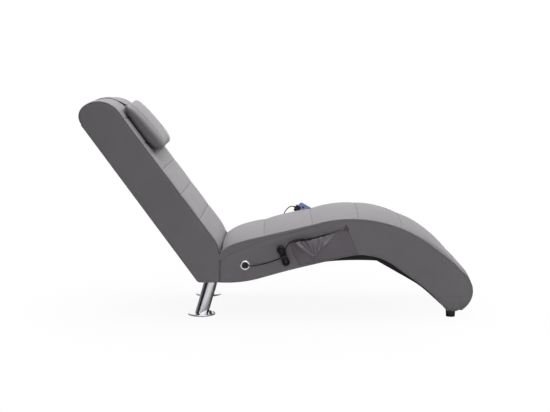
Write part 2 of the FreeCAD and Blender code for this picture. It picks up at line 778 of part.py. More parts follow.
# Control box on the seat's rear rail
box_rear = joint_board
box_low = at(box_rear, box_bottom, -box_width / 2)
box_base_depth = box_depth - box_lid
base = box_between(box_low, box_low + Vector(box_base_depth, box_width, box_height))
hollow_low = box_low + Vector(box_wall, box_wall, box_wall)
hollow_size = Vector(box_depth, box_width - 2 * box_wall, box_height - 2 * box_wall)
hollow = box_between(hollow_low, hollow_low + hollow_size)
base = base.cut(hollow)
board_low = box_low + Vector(box_wall + board_stand, board_margin, board_margin)
board = box_between(board_low, board_low + Vector(board_thick, box_width - 2 * board_margin,
                                                  box_height - 2 * board_margin))
for y in (board_margin + 2 * post_radius, box_width - board_margin - 2 * post_radius):
    for z in (board_margin + 2 * post_radius, box_height - board_margin - 2 * post_radius):
        post_foot = box_low + Vector(box_wall, y, z)
        base = base.fuse(Part.makeCylinder(post_radius, board_stand, post_foot, Vector(1, 0, 0)))
lid_low = box_low + Vector(box_base_depth, 0, 0)
shapes["control_box_base"] = base
shapes["control_box_lid"] = box_between(lid_low, lid_low + Vector(box_lid, box_width, box_height))
shapes["control_board"] = board

# Wiring held inside
wires = []


def wire(points):
    """Inner lead with even bends."""
    bends = [0.0] + [wire_bend] * (len(points) - 2) + [0.0]
    wires.append(tube_on(route_edges(points, bends, False), wire_radius))


box_side = box_width / 2
box_mid = box_rear + box_depth / 2 - box_lid
lead_floor = half - cord_start_depth
for side in (-1, 1):
    wire([at(box_mid, box_bottom + 0.7 * box_height, side * box_side),
          at(box_mid, box_bottom + 0.7 * box_height, side * (box_side + 40)),
          at(grommet_x, grommet_z, side * (clear - 50)),
          at(grommet_x, grommet_z, side * lead_floor)])
face_y = -motor_length / 2
aside = face_y - 34
split = 0.45 * motor_radius


def end_spot(number, share, y):
    middle, heading = unit_axes[number]
    return middle + heading * (split * share) + Vector(0, y, 0)


def chain(first, second):
    """Lead from one motor's rear face to the next one's."""
    wire([end_spot(first, 1, face_y), end_spot(first, 1, aside), end_spot(second, -1, aside),
          end_spot(second, -1, face_y)])


chain(0, 1)
chain(2, 3)
chain(3, 4)
box_front = box_rear + box_depth
wire_low = box_bottom + 0.3 * box_height
wire([at(box_front, wire_low, aside), at(box_front + 30, wire_low, aside), end_spot(2, -1, aside),
      end_spot(2, -1, face_y)])
back_lead = back_at(100, back_bed - rail_depth - motor_block, wire_spot)
wire([at(box_mid, wire_low, box_side), at(box_mid, wire_low, box_side + 30),
      at(box_mid, bolt_height, wire_spot),
      at(-2 * joint_board, bolt_height, wire_spot), back_lead,
      end_spot(0, -1, 0) + Vector(0, wire_spot, 0) - back_up * 60,
      end_spot(0, -1, aside) - back_up * 60, end_spot(0, -1, aside), end_spot(0, -1, face_y)])
shapes["wiring"] = Part.makeCompound(wires)

# Grommets through the side covers and the cheeks
sleeve_length = cover + cheek
lip = Part.makeCylinder(grommet_radius, grommet_lip, at(grommet_x, grommet_z, half), Vector(0, 1, 0))
outer_rim = [edge for edge in lip.Edges if abs(edge.CenterOfMass.y - half - grommet_lip) < 1e-6]
lip = lip.makeFillet(grommet_lip * 0.6, outer_rim)
sleeve = Part.makeCylinder(grommet_sleeve, sleeve_length, at(grommet_x, grommet_z, half - sleeve_length),
                           Vector(0, 1, 0))
bore = Part.makeCylinder(grommet_bore, 4 * sleeve_length, at(grommet_x, grommet_z, half - 2 * sleeve_length),
                         Vector(0, 1, 0))
grommet = lip.fuse(sleeve).cut(bore)
shapes["grommets"] = Part.makeCompound([grommet, mirror_y(grommet)])


# Hanks: a drawn-in loop wound inwards and outwards again in four layers
hank_axis = Vector(-sin(hank_lean), 0, cos(hank_lean))
hank_across = Vector(cos(hank_lean), 0, sin(hank_lean))
level_low = half + lead_clear + 2 * cord_radius + tie_gap + tie_band + tie_fit + cord_radius
hank_climbs = 3
hank_layer_turns = (hank_turns - 0.5 * hank_climbs) / (hank_climbs + 1)


def hank_state(turn):
    """How far the loop lies inside the outer one, and its layer, after some turns."""
    passed = turn
    layer = 0
    while passed > hank_layer_turns + 0.5 and layer < hank_climbs:
        passed -= hank_layer_turns + 0.5
        layer += 1
    inward = hank_pitch * min(passed, hank_layer_turns)
    if layer % 2:
        inward = hank_pitch * hank_layer_turns - inward
    climb = max(0.0, passed - hank_layer_turns) / 0.5
    return inward, layer + climb * climb * (3 - 2 * climb)


def hank_node(step):
    """Place and heading on the winding at a number of eighths of a turn."""
    inward, level = hank_state(step / 8 - hank_first)
    ahead = hank_state(min(step / 8 + 0.0625, hank_turns + hank_first) - hank_first)[1]
    behind = hank_state(max(step / 8 - 0.0625, hank_first) - hank_first)[1]
    waist = hank_waist - inward
    lobe = hank_lobe - inward
    p, q, dp, dq = ((0, waist, 1, 0), (hank_reach, lobe, 1, 0), (hank_reach + lobe, 0, 0, -1),
                    (hank_reach, -lobe, -1, 0), (0, -waist, -1, 0), (-hank_reach, -lobe, -1, 0),
                    (-hank_reach - lobe, 0, 0, 1), (-hank_reach, lobe, 1, 0))[step % 8]
    rise = (ahead - behind) * hank_layer / (math.pi * hank_lobe / 2)
    place = (at(hank_x, hank_z) + hank_axis * p + hank_across * q
             + Vector(0, level_low + level * hank_layer, 0))
    heading = hank_axis * dp + hank_across * dq + Vector(0, rise, 0)
    return place, heading.normalize()


def biarc(p, t, q, s):
    """Two arcs that leave p along t and reach q along s."""
    w = q - p
    a = 2 * (1 - t.dot(s))
    b = 2 * w.dot(t + s)
    c = -w.dot(w)
    reach = -c / b if abs(a) < 1e-9 else (-b + math.sqrt(b * b - 4 * a * c)) / (2 * a)
    near = p + t * reach
    far = q - s * reach
    meet = (near + far) * 0.5
    edges = []
    for start, corner, end in ((p, near, meet), (meet, far, q)):
        chord = (start + end) * 0.5
        sag = corner - chord
        if sag.Length < 1e-6:
            edges.append(Part.LineSegment(start, end).toShape())
        else:
            half_chord = (end - start).Length / 2
            leg = (corner - start).Length
            bulge = half_chord * (leg - half_chord) / sag.Length
            edges.append(Part.Arc(start, chord + sag.normalize() * bulge, end).toShape())
    return edges


first_step = round(8 * hank_first)
last_step = first_step + round(8 * hank_turns)
hank_nodes = [hank_node(step) for step in range(first_step, last_step + 1)]
start_place, start_heading = hank_nodes[0]
start_heading = (start_heading + Vector(0, entry_rise, 0)).normalize()
hank_nodes[0] = (start_place - Vector(0, entry_drop, 0), start_heading)
end_place = hank_nodes[-1][0] + hank_across * exit_spread
exit_y = end_place.y
exit_point = side_at(*exit_spot, exit_y)
hank_nodes[-1] = (end_place, hank_axis * cos(exit_turn) + hank_across * sin(exit_turn))
hank_start = hank_nodes[0][0] - hank_nodes[0][1] * hank_tail
hank_end = hank_nodes[-1][0] + hank_nodes[-1][1] * hank_tail
exit_bend = hank_end + hank_nodes[-1][1] * exit_run
hank_edges = [Part.LineSegment(hank_start, hank_nodes[0][0]).toShape()]
for (p, t), (q, s) in zip(hank_nodes, hank_nodes[1:]):
    hank_edges += biarc(p, t, q, s)
hank_edges.append(Part.LineSegment(hank_nodes[-1][0], hank_end).toShape())
hank_far = tube_on(hank_edges, cord_radius)
hank_near = mirror_y(hank_far)

# Least gap of the winding to itself, on points along it
samples = []
walked = 0.0
for edge in hank_edges:
    count = max(2, int(edge.Length / 1.5))
    for i in range(count):
        along = edge.Length * i / count
        samples.append((walked + along, edge.valueAt(edge.getParameterByLength(along))))
    walked += edge.Length
least = min((p - q).Length for i, (a, p) in enumerate(samples) for b, q in samples[i + 1:] if b - a > 14)
hank_length = walked
print("hank length %.0f least self gap %.2f" % (hank_length, least - 2 * cord_radius))
print("hank volume ratio %.4f" % (hank_far.Volume / (math.pi * cord_radius ** 2 * hank_length)))

# Ties round the waists
tie_inner = hank_waist + cord_radius + tie_slack
tie_low = level_low - cord_radius - tie_fit
tie_high = level_low + hank_climbs * hank_layer + cord_radius + tie_fit
tie_frame = axis_frame(at(hank_x, hank_z) + hank_axis * tie_place, hank_across, hank_axis)


def tie_block(grow, long):
    low = Vector(-tie_inner - grow, tie_low - grow, -long / 2)
    block = box_between(low, Vector(tie_inner + grow, tie_high + grow, long / 2))
    block.Placement = tie_frame
    return block


tie = tie_block(tie_band, tie_width).cut(tie_block(0, 2 * tie_width))
shapes["lead_ties"] = Part.makeCompound([tie, mirror_y(tie)])
shapes["handset_lead_hank"] = hank_far
shapes["power_lead_hank"] = hank_near


def lead(name, points, mirrored):
    """Free stretch of a lead on the far side, or its mirror image."""
    radii = soft_radii(points)
    edges = route_edges(points, radii, False)
    tube = tube_on(edges, cord_radius)
    length = sum(edge.Length for edge in edges)
    ratio = tube.Volume / (math.pi * cord_radius ** 2 * length)
    print(name, "length %.0f volume ratio %.4f radii" % (length, ratio), [round(r, 1) for r in radii[1:-1]])
    shapes[name] = mirror_y(tube) if mirrored else tube


# Stretch from each grommet, along the side cover and behind the waist to the hank
lead_y = half + lead_clear + cord_radius
entry = hank_start - hank_nodes[0][1] * entry_run
start_offsets = ((0, 0, lead_floor), (0, 0, half + 9), (6, 0.5, half + 18), (18, 0.8, half + 19),
                 (36, 0.4, half + 12), (62, 4, lead_y + 0.4), (89, 11, lead_y), (115, 20, lead_y),
                 (129, 25, lead_y), (144, 33.5, lead_y))
start_points = [at(grommet_x + x, grommet_z + z, y) for x, z, y in start_offsets] + [entry, hank_start]
lead("power_lead_start", start_points, True)
lead("handset_lead_start", start_points, False)

# Stretch from the near hank over the pocket's edge to the plug inside
plug_y = half + pocket_depth / 2
plug_top = side_at(329, 144, plug_y)
plug_points = [hank_end, exit_bend, exit_point, side_at(255, 150, exit_y - 3.5),
               side_at(273, 163, exit_y - 6), side_at(297, 169, plug_y + 0.5), side_at(318, 167, plug_y),
               side_at(329, 157, plug_y), plug_top]
lead("power_lead_end", plug_points, True)
plug = Part.makeCylinder(plug_radius, plug_length, plug_top - Vector(0, 0, plug_length))
plug = plug.makeChamfer(1.5, [edge for edge in plug.Edges if abs(edge.CenterOfMass.z - plug_top.z) < 1e-6])
barrel = Part.makeCylinder(barrel_radius, barrel_length, plug_top - Vector(0, 0, plug_length + barrel_length))
shapes["power_plug"] = mirror_y(plug.fuse(barrel))


# Pockets: a sheet sewn on along three edges, standing off the side cover in front
def pocket_solid(base_corners, front_corners, base_y, front_y):
    base_ring = Part.makePolygon([side_at(x, z, base_y) for x, z in base_corners + base_corners[:1]])
    front_ring = Part.makePolygon([side_at(x, z, front_y) for x, z in front_corners + front_corners[:1]])
    return Part.makeLoft([base_ring, front_ring], True, True)


def shrunk(corners):
    """Corners moved in by the sheet, with the top carried up through the mouth."""
    inset = pocket_sheet * 1.3
    moves = ((inset, pocket_mouth), (-inset, pocket_mouth), (-inset, inset), (inset, inset))
    return tuple((x + dx, z + dz) for (x, z), (dx, dz) in zip(corners, moves))


pocket_body = pocket_solid(pocket_base, pocket_front, half, half + pocket_depth)
pocket_hollow = pocket_solid(shrunk(pocket_base), shrunk(pocket_front), half - 0.01,
                             half + pocket_depth - pocket_sheet)
pocket = pocket_body.cut(pocket_hollow)
side_pair("pocket", pocket)

# Handset, built along X from its cable end and then leaned into the pocket
hand_turn = FreeCAD.Placement(at(hand_x, hand_z, half + hand_gap),
                              FreeCAD.Rotation(Vector(0, 1, 0), hand_lean))


def rounded_block(x0, x1, z_half, y0, y1, radius):
    spots = ((x0, -z_half), (x1, -z_half), (x1, z_half), (x0, z_half))
    return plate([(Vector(x, 0, z), radius) for x, z in spots], y0, y1)


wide = hand_width / 2
face_end = hand_length - face_rim
face_wide = wide - face_rim
face_round = hand_round - face_rim
recess = rounded_block(hand_end, face_end, face_wide, -1, face_thick, face_round)
cavity = rounded_block(hand_end + face_ledge, face_end - face_ledge, face_wide - face_ledge,
                       -1, hand_thick - hand_wall, face_round - face_ledge)
hand_shell = rounded_block(0, hand_length, wide, 0, hand_thick, hand_round).cut(recess).cut(cavity)
hand_board_back = hand_board + board_thick
posts_x = (hand_end + board_margin + 2 * post_radius, face_end - board_margin - 2 * post_radius)
posts_z = face_wide - board_margin - post_radius
for x in posts_x:
    for z in (-posts_z, posts_z):
        hand_shell = hand_shell.fuse(Part.makeCylinder(post_radius, hand_thick - hand_wall - hand_board_back,
                                                       Vector(x, hand_board_back, z), Vector(0, 1, 0)))
face = rounded_block(hand_end + seat_fit, face_end - seat_fit, face_wide - seat_fit, 0, face_thick,
                     face_round - seat_fit)
buttons = []
for x, radius in zip(button_places, button_radii):
    spot = Vector(x, 0, 0)
    face = face.cut(Part.makeCylinder(radius + button_fit, 4 * face_thick, spot - Vector(0, face_thick, 0),
                                      Vector(0, 1, 0)))
    flange_y = face_thick + seat_fit
    flange_back = flange_y + button_flange_thick
    cap = Part.makeCylinder(radius, button_rise + flange_back, spot - Vector(0, button_rise, 0),
                            Vector(0, 1, 0))
    crest = [edge for edge in cap.Edges if abs(edge.CenterOfMass.y + button_rise) < 1e-6]
    cap = cap.makeFillet(button_rise / 2, crest)
    flange = Part.makeCylinder(radius + button_flange, button_flange_thick, spot + Vector(0, flange_y, 0),
                               Vector(0, 1, 0))
    stem_length = hand_board - button_travel - seat_fit - flange_back
    stem = Part.makeCylinder(stem_radius, stem_length, spot + Vector(0, flange_back, 0), Vector(0, 1, 0))
    buttons.append(cap.fuse(flange).fuse(stem))
hand_board_solid = rounded_block(hand_end + board_margin, face_end - board_margin, face_wide - board_margin,
                                 hand_board, hand_board_back, board_thick)
relief = Part.makeCone(relief_root, relief_tip, relief_length, Vector(0, hand_thick / 2, 0), Vector(-1, 0, 0))
handset = {"handset_shell": hand_shell, "handset_face": face, "handset_board": hand_board_solid,
           "handset_relief": relief}
for name, solid in zip(("power", "mode", "speed", "zone"), buttons):
    handset["button_" + name] = solid
for name, solid in handset.items():
    solid.Placement = hand_turn
    shapes[name] = solid

# Stretch from the far hank up to the handset's strain relief
relief_out = hand_turn.multVec(Vector(-relief_length, hand_thick / 2, 0))
relief_ahead = hand_turn.multVec(Vector(-relief_length - 18, hand_thick / 2, 0))
hand_points = [hank_end, exit_bend, exit_point, side_at(249, 149, exit_y - 2.5),
               side_at(248, 171, exit_y - 5), side_at(244, 196, exit_y - 8.5),
               side_at(247, 219, relief_out.y - 1), side_at(256, 237, relief_out.y + 0.3),
               relief_ahead, relief_out]
lead("handset_lead_end", hand_points, False)


# Head pillow: lofted across, thick at its lower edge and thinner at its ends
def pillow_section(y, share, shrink):
    bed = slab + back_crown + pillow_fit
    low = pillow_low + shrink
    high = pillow_high - shrink
    thick_low = pillow_thick_low * share
    thick_high = pillow_thick_high * share
    a = back_at(low, bed, y)
    b = back_at(low + 0.35 * thick_low, bed + 0.92 * thick_low, y)
    c = back_at(high - 0.35 * thick_high, bed + 0.92 * thick_high, y)
    d = back_at(high, bed, y)
    low_mid = back_at(low - pillow_bulge * share, bed + 0.5 * thick_low, y)
    top_mid = back_at((low + high) / 2, bed + (thick_low + thick_high) / 2 + pillow_bulge * share, y)
    high_mid = back_at(high + pillow_bulge * share, bed + 0.5 * thick_high, y)
    lines = [Part.LineSegment(d, a), Part.Arc(a, low_mid, b), Part.Arc(b, top_mid, c),
             Part.Arc(c, high_mid, d)]
    return Part.Wire([line.toShape() for line in lines])


pillow_sections = []
for step in range(-10, 11):
    place = step / 10
    bow = 1 - place ** 4
    share = pillow_end_thick + (1 - pillow_end_thick) * math.sqrt(bow)
    pillow_sections.append(pillow_section(pillow_half * math.sin(place * math.pi / 2), share,
                                          (1 - math.sqrt(bow)) * pillow_bulge))
shapes["pillow"] = Part.makeLoft(pillow_sections, True, True)

# Strap from the pillow over the nose and down the rear
strap_low = slab + back_crown + strap_fit
strap_high = back_length + back_crown * 0.75 + strap_fit
strap_rear = -end_crown - strap_fit


def strap_band(grow):
    front_round = slab - nose_rear_round + back_crown
    corners = [(back_at(back_length - nose_rear_round - strap_tail, strap_rear - grow), 0),
               (back_at(back_length - nose_rear_round - strap_tail, strap_low + grow), 0),
               (back_at(strap_high + grow, strap_low + grow), front_round + grow),
               (back_at(strap_high + grow, strap_rear - grow), nose_rear_round + grow)]
    return plate(corners, -strap_width / 2, strap_width / 2)


strap_start = pillow_high + strap_sewn
strap_skip = [(back_at(0, slab / 2), 0), (back_at(0, 2 * slab), 0), (back_at(strap_start, 2 * slab), 0),
              (back_at(strap_start, slab / 2), 0)]
strap = strap_band(strap_thick).cut(strap_band(0)).cut(plate(strap_skip, -width, width))
shapes["pillow_strap"] = strap

# Report and write each piece
whole = None
for name, shape in shapes.items():
    box = shape.BoundBox
    if not shape.isValid():
        print("not valid:", name)
    if whole is None:
        whole = FreeCAD.BoundBox(box)
    else:
        whole.add(box)
print("box x %.1f %.1f y %.1f %.1f z %.1f %.1f" % (whole.XMin, whole.XMax, whole.YMin, whole.YMax, whole.ZMin,
                                                  whole.ZMax))
print("joint x %.3f, nodes %d" % (joint, len(shapes)))
os.makedirs("parts", exist_ok=True)
for name, shape in shapes.items():
    shape.exportStep("parts/" + name + ".step")
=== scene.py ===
import logging
import math
from dataclasses import dataclass, field
from enum import Enum
from typing import Any, Callable, Sequence

import bmesh
import bpy
import numpy as np
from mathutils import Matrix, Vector, noise
from mathutils.bvhtree import BVHTree
from mathutils.geometry import delaunay_2d_cdt


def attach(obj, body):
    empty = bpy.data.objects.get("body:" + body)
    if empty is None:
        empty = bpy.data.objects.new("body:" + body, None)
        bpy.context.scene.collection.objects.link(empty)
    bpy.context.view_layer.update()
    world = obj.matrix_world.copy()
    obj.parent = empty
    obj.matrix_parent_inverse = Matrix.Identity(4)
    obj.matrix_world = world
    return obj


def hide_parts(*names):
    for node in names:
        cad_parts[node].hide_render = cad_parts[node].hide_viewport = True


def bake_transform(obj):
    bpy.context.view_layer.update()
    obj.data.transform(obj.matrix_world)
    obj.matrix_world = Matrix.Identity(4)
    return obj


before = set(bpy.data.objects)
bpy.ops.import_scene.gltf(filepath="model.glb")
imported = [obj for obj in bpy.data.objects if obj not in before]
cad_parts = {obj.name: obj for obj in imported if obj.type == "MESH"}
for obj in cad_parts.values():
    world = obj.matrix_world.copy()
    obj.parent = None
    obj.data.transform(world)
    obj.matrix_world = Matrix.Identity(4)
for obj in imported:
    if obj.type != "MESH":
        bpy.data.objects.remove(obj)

LOG = logging.getLogger("lounger")
ROOT = "lounger"
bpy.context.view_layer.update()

Colour = tuple[float, float, float]
Spot = tuple[float, float]
Grid = Sequence[Sequence[Vector]]
Piece = bpy.types.Object
Tree = bpy.types.NodeTree
Socket = bpy.types.NodeSocket
EVEN = (1.0, 1.0, 1.0)
WHITE = (1.0, 1.0, 1.0, 1.0)


class Side(Enum):
    """The two sides of the lounger, by the sign of Y."""

    NEAR = -1
    FAR = 1

    @property
    def word(self) -> str:
        """The side's name as the nodes spell it."""
        return self.name.lower()


@dataclass(frozen=True)
class SideView:
    """Sizes of the side view in metres, with X from the joint of back and seat."""

    joint: float = -0.212285
    half: float = 0.255
    slab: float = 0.150
    belly: float = 0.134
    back_angle: float = math.radians(53.5)
    back_length: float = 0.792
    back_foot: float = 0.080
    nose_rear: float = 0.050
    seat_height: float = 0.2755
    thigh: float = math.radians(13.2)
    shin: float = math.radians(35.8)
    knee_reach: float = 0.6026
    knee_round: float = 0.513
    knee_under: float = 0.220
    foot_round: float = 0.098
    foot_line: float = 0.014
    foot_flat: float = 0.024
    heel_reach: float = 0.858
    heel_angle: float = math.radians(48.9)
    foot_wrap: float = math.radians(62.0)
    cover_foot: float = 0.1322
    grommet: Spot = (0.092, 0.199)

    def at(self, x: float, z: float) -> Vector:
        """Point of the side view from a place measured from the joint."""
        return Vector((self.joint + x, z))

    def back_at(self, u: float, v: float) -> Vector:
        """Point on the back: u up its rear face, v forward from it."""
        c, s = math.cos(self.back_angle), math.sin(self.back_angle)
        return self.at(-self.back_foot - u * c + v * s, self.belly + u * s + v * c)

    @property
    def knee_top(self) -> Vector:
        """Where the thigh's and the shin's top lines meet."""
        return self.at(self.knee_reach, self.seat_height + math.tan(self.thigh) * self.knee_reach)

    @property
    def nose_front(self) -> float:
        """Radius of the front of the back's nose."""
        return self.slab - self.nose_rear

    def under(self, point: Vector, slope: float, depth: float) -> Vector:
        """Point square under a sloped top line.

        Args:
            point: a point of the top line.
            slope: its rise in radians.
            depth: how far under it.

        Returns:
            The lower point.
        """
        return point + Vector((math.sin(slope), -math.cos(slope))) * depth


VIEW = SideView()


def stood(place: Vector, y: float) -> Vector:
    """Point in space at a place of the side view and one Y."""
    return Vector((place.x, y, place.y))


def crossing(p: Vector, slope_p: float, q: Vector, slope_q: float) -> Vector:
    """Corner where two lines of the side view meet.

    Args:
        p: a point of the first line.
        slope_p: its slope in radians.
        q: a point of the second line.
        slope_q: its slope in radians.

    Returns:
        The corner.
    """
    d = Vector((math.cos(slope_p), math.sin(slope_p)))
    e = Vector((math.cos(slope_q), math.sin(slope_q)))
    w = q - p
    return p + d * ((w.x * e.y - w.y * e.x) / (d.x * e.y - d.y * e.x))


@dataclass
class Run:
    """A straight run, or a round one where it has a radius."""

    start: Vector
    end: Vector
    radius: float = 0.0
    centre: Vector = field(default_factory=lambda: Vector((0.0, 0.0)))
    first: float = 0.0
    sweep: float = 0.0

    @property
    def length(self) -> float:
        """Length along the run."""
        return abs(self.sweep) * self.radius if self.radius else (self.end - self.start).length

    def place(self, distance: float) -> tuple[Vector, Vector]:
        """Point and heading at a distance along the run."""
        if not self.radius:
            heading = (self.end - self.start).normalized()
            return self.start + heading * distance, heading
        turn = 1.0 if self.sweep > 0 else -1.0
        angle = self.first + turn * distance / self.radius
        spoke = Vector((math.cos(angle), math.sin(angle)))
        return self.centre + spoke * self.radius, Vector((-spoke.y, spoke.x)) * turn


class Track:
    """A line of straight runs and rounded corners in the side view, walked by length."""

    def __init__(self, corners: Sequence[tuple[Vector, float]], closed: bool = False) -> None:
        """Build the runs.

        Args:
            corners: each corner and the radius that rounds it.
            closed: whether the last corner joins the first.
        """
        self.runs: list[Run] = []
        count = len(corners)
        starts: list[Vector] = []
        ends: list[Vector] = []
        rounds: list[Run | None] = []
        for i, (corner, radius) in enumerate(corners):
            if radius and (closed or 0 < i < count - 1):
                arc = self._round(corners[i - 1][0], corner, corners[(i + 1) % count][0], radius)
                starts.append(arc.start)
                ends.append(arc.end)
                rounds.append(arc)
            else:
                starts.append(corner)
                ends.append(corner)
                rounds.append(None)
        for i in range(count):
            if rounds[i]:
                self.runs.append(rounds[i])
            j = (i + 1) % count
            if (closed or i < count - 1) and (starts[j] - ends[i]).length > 1e-7:
                self.runs.append(Run(ends[i], starts[j]))
        self.length = sum(run.length for run in self.runs)

    @staticmethod
    def _round(before: Vector, corner: Vector, after: Vector, radius: float) -> Run:
        """Round run that takes the place of a corner."""
        back, on = (before - corner).normalized(), (after - corner).normalized()
        opening = back.angle(on) / 2
        reach = radius / math.tan(opening)
        centre = corner + (back + on).normalized() * (radius / math.sin(opening))
        start, end = corner + back * reach, corner + on * reach
        first = math.atan2(start.y - centre.y, start.x - centre.x)
        last = math.atan2(end.y - centre.y, end.x - centre.x)
        sweep = (last - first + math.pi) % (2 * math.pi) - math.pi
        return Run(start, end, radius, centre, first, sweep)

    def place(self, distance: float) -> tuple[Vector, Vector]:
        """Point and heading at a distance along the whole line."""
        for run in self.runs:
            if distance <= run.length or run is self.runs[-1]:
                return run.place(distance)
            distance -= run.length
        raise ValueError("the line has no runs")

    def points(self, step: float, start: float = 0.0, end: float | None = None) -> list[Vector]:
        """Even points along the line."""
        end = self.length if end is None else end
        count = max(1, round((end - start) / step))
        return [self.place(start + (end - start) * i / count)[0] for i in range(count + 1)]


def seat_track() -> Track:
    """Top line of the seat, from the joint over the knee and round the foot end."""
    foot = crossing(VIEW.knee_top, -VIEW.shin, VIEW.at(0, VIEW.foot_line), 0)
    heel = crossing(VIEW.at(VIEW.heel_reach, VIEW.foot_flat), -VIEW.heel_angle, VIEW.at(0, VIEW.foot_line), 0)
    return Track([(VIEW.at(0, VIEW.seat_height), 0), (VIEW.knee_top, VIEW.knee_round),
                  (foot, VIEW.foot_round), (heel, 0)])


def back_track() -> Track:
    """Front line of the back, from the joint over the nose to its rear."""
    low = crossing(VIEW.back_at(0, VIEW.slab), math.pi - VIEW.back_angle, VIEW.at(0, 0), math.pi / 2)
    return Track([(low, 0), (VIEW.back_at(VIEW.back_length, VIEW.slab), VIEW.nose_front),
                  (VIEW.back_at(VIEW.back_length, 0), VIEW.nose_rear), (VIEW.back_at(0, 0), 0)])


SEAT = seat_track()
BACK = back_track()


def fill_inputs(tree: Tree, made: bpy.types.Node, inputs: dict[str | int, Any]) -> None:
    """Set a node's inputs, or link them.

    Args:
        tree: the tree.
        made: the node.
        inputs: a value, or a socket to link from, by the input's name or number.
    """
    for name, value in inputs.items():
        if isinstance(value, Socket):
            tree.links.new(value, made.inputs[name])
        else:
            made.inputs[name].default_value = value


def node(tree: Tree, kind: str, inputs: dict[str | int, Any] | None = None,
         **settings: str) -> bpy.types.bpy_prop_collection:
    """Add a node to a tree.

    Args:
        tree: the tree.
        kind: the node's type.
        inputs: values or sockets for its inputs.
        settings: its own properties.

    Returns:
        The node's outputs.
    """
    made = tree.nodes.new(kind)
    for name, value in settings.items():
        setattr(made, name, value)
    fill_inputs(tree, made, inputs or {})
    return made.outputs


def larger(tree: Tree, a: Socket, b: Socket) -> Socket:
    """The larger of two values of a tree."""
    return node(tree, "ShaderNodeMath", {0: a, 1: b}, operation="MAXIMUM")["Value"]


def span(tree: Tree, value: Socket, given: Spot, wanted: Sequence[Any],
         curve: str = "LINEAR") -> Socket:
    """A value of a tree carried from one range to another.

    Args:
        tree: the tree.
        value: the value.
        given: the range it comes in.
        wanted: the range it goes to, as numbers or sockets.
        curve: how it goes from end to end.

    Returns:
        The new value.
    """
    return node(tree, "ShaderNodeMapRange",
                {"Value": value, "From Min": given[0], "From Max": given[1], "To Min": wanted[0],
                 "To Max": wanted[1]}, interpolation_type=curve)["Result"]


def cloud(tree: Tree, where: Socket, scale: float, detail: float = 3.0,
          stretch: Colour = EVEN) -> Socket:
    """Noise on a piece's own coordinates.

    Args:
        tree: the material's tree.
        where: its coordinates.
        scale: cells in a metre.
        detail: octaves.
        stretch: factor along each axis.

    Returns:
        The noise's value.
    """
    mapped = node(tree, "ShaderNodeMapping", {"Scale": stretch, "Vector": where})["Vector"]
    return node(tree, "ShaderNodeTexNoise", {"Scale": scale, "Detail": detail, "Vector": mapped})["Fac"]


class Grain(Enum):
    """How a finish's surface is figured."""

    LEATHER = "leather"
    WOVEN = "woven"
    MOULDED = "moulded"
    PLATED = "plated"
    JACKET = "jacket"
    DRAWN = "drawn"
    TIMBER = "timber"


@dataclass(frozen=True)
class Figure:
    """A grain that is plain noise, with its relief in metres and the strength of that."""

    scale: float
    relief: float
    strength: float
    detail: float = 2.0
    stretch: Colour = EVEN


FIGURES: dict[Grain, Figure] = {
    Grain.MOULDED: Figure(900.0, 0.00012, 0.4),
    Grain.PLATED: Figure(14.0, 0.00025, 0.06),
    Grain.JACKET: Figure(700.0, 0.0001, 0.3),
    Grain.DRAWN: Figure(400.0, 0.00008, 0.3, stretch=(6.0, 0.6, 6.0)),
    Grain.TIMBER: Figure(26.0, 0.0006, 0.5, 6.0, (9.0, 1.0, 9.0)),
}


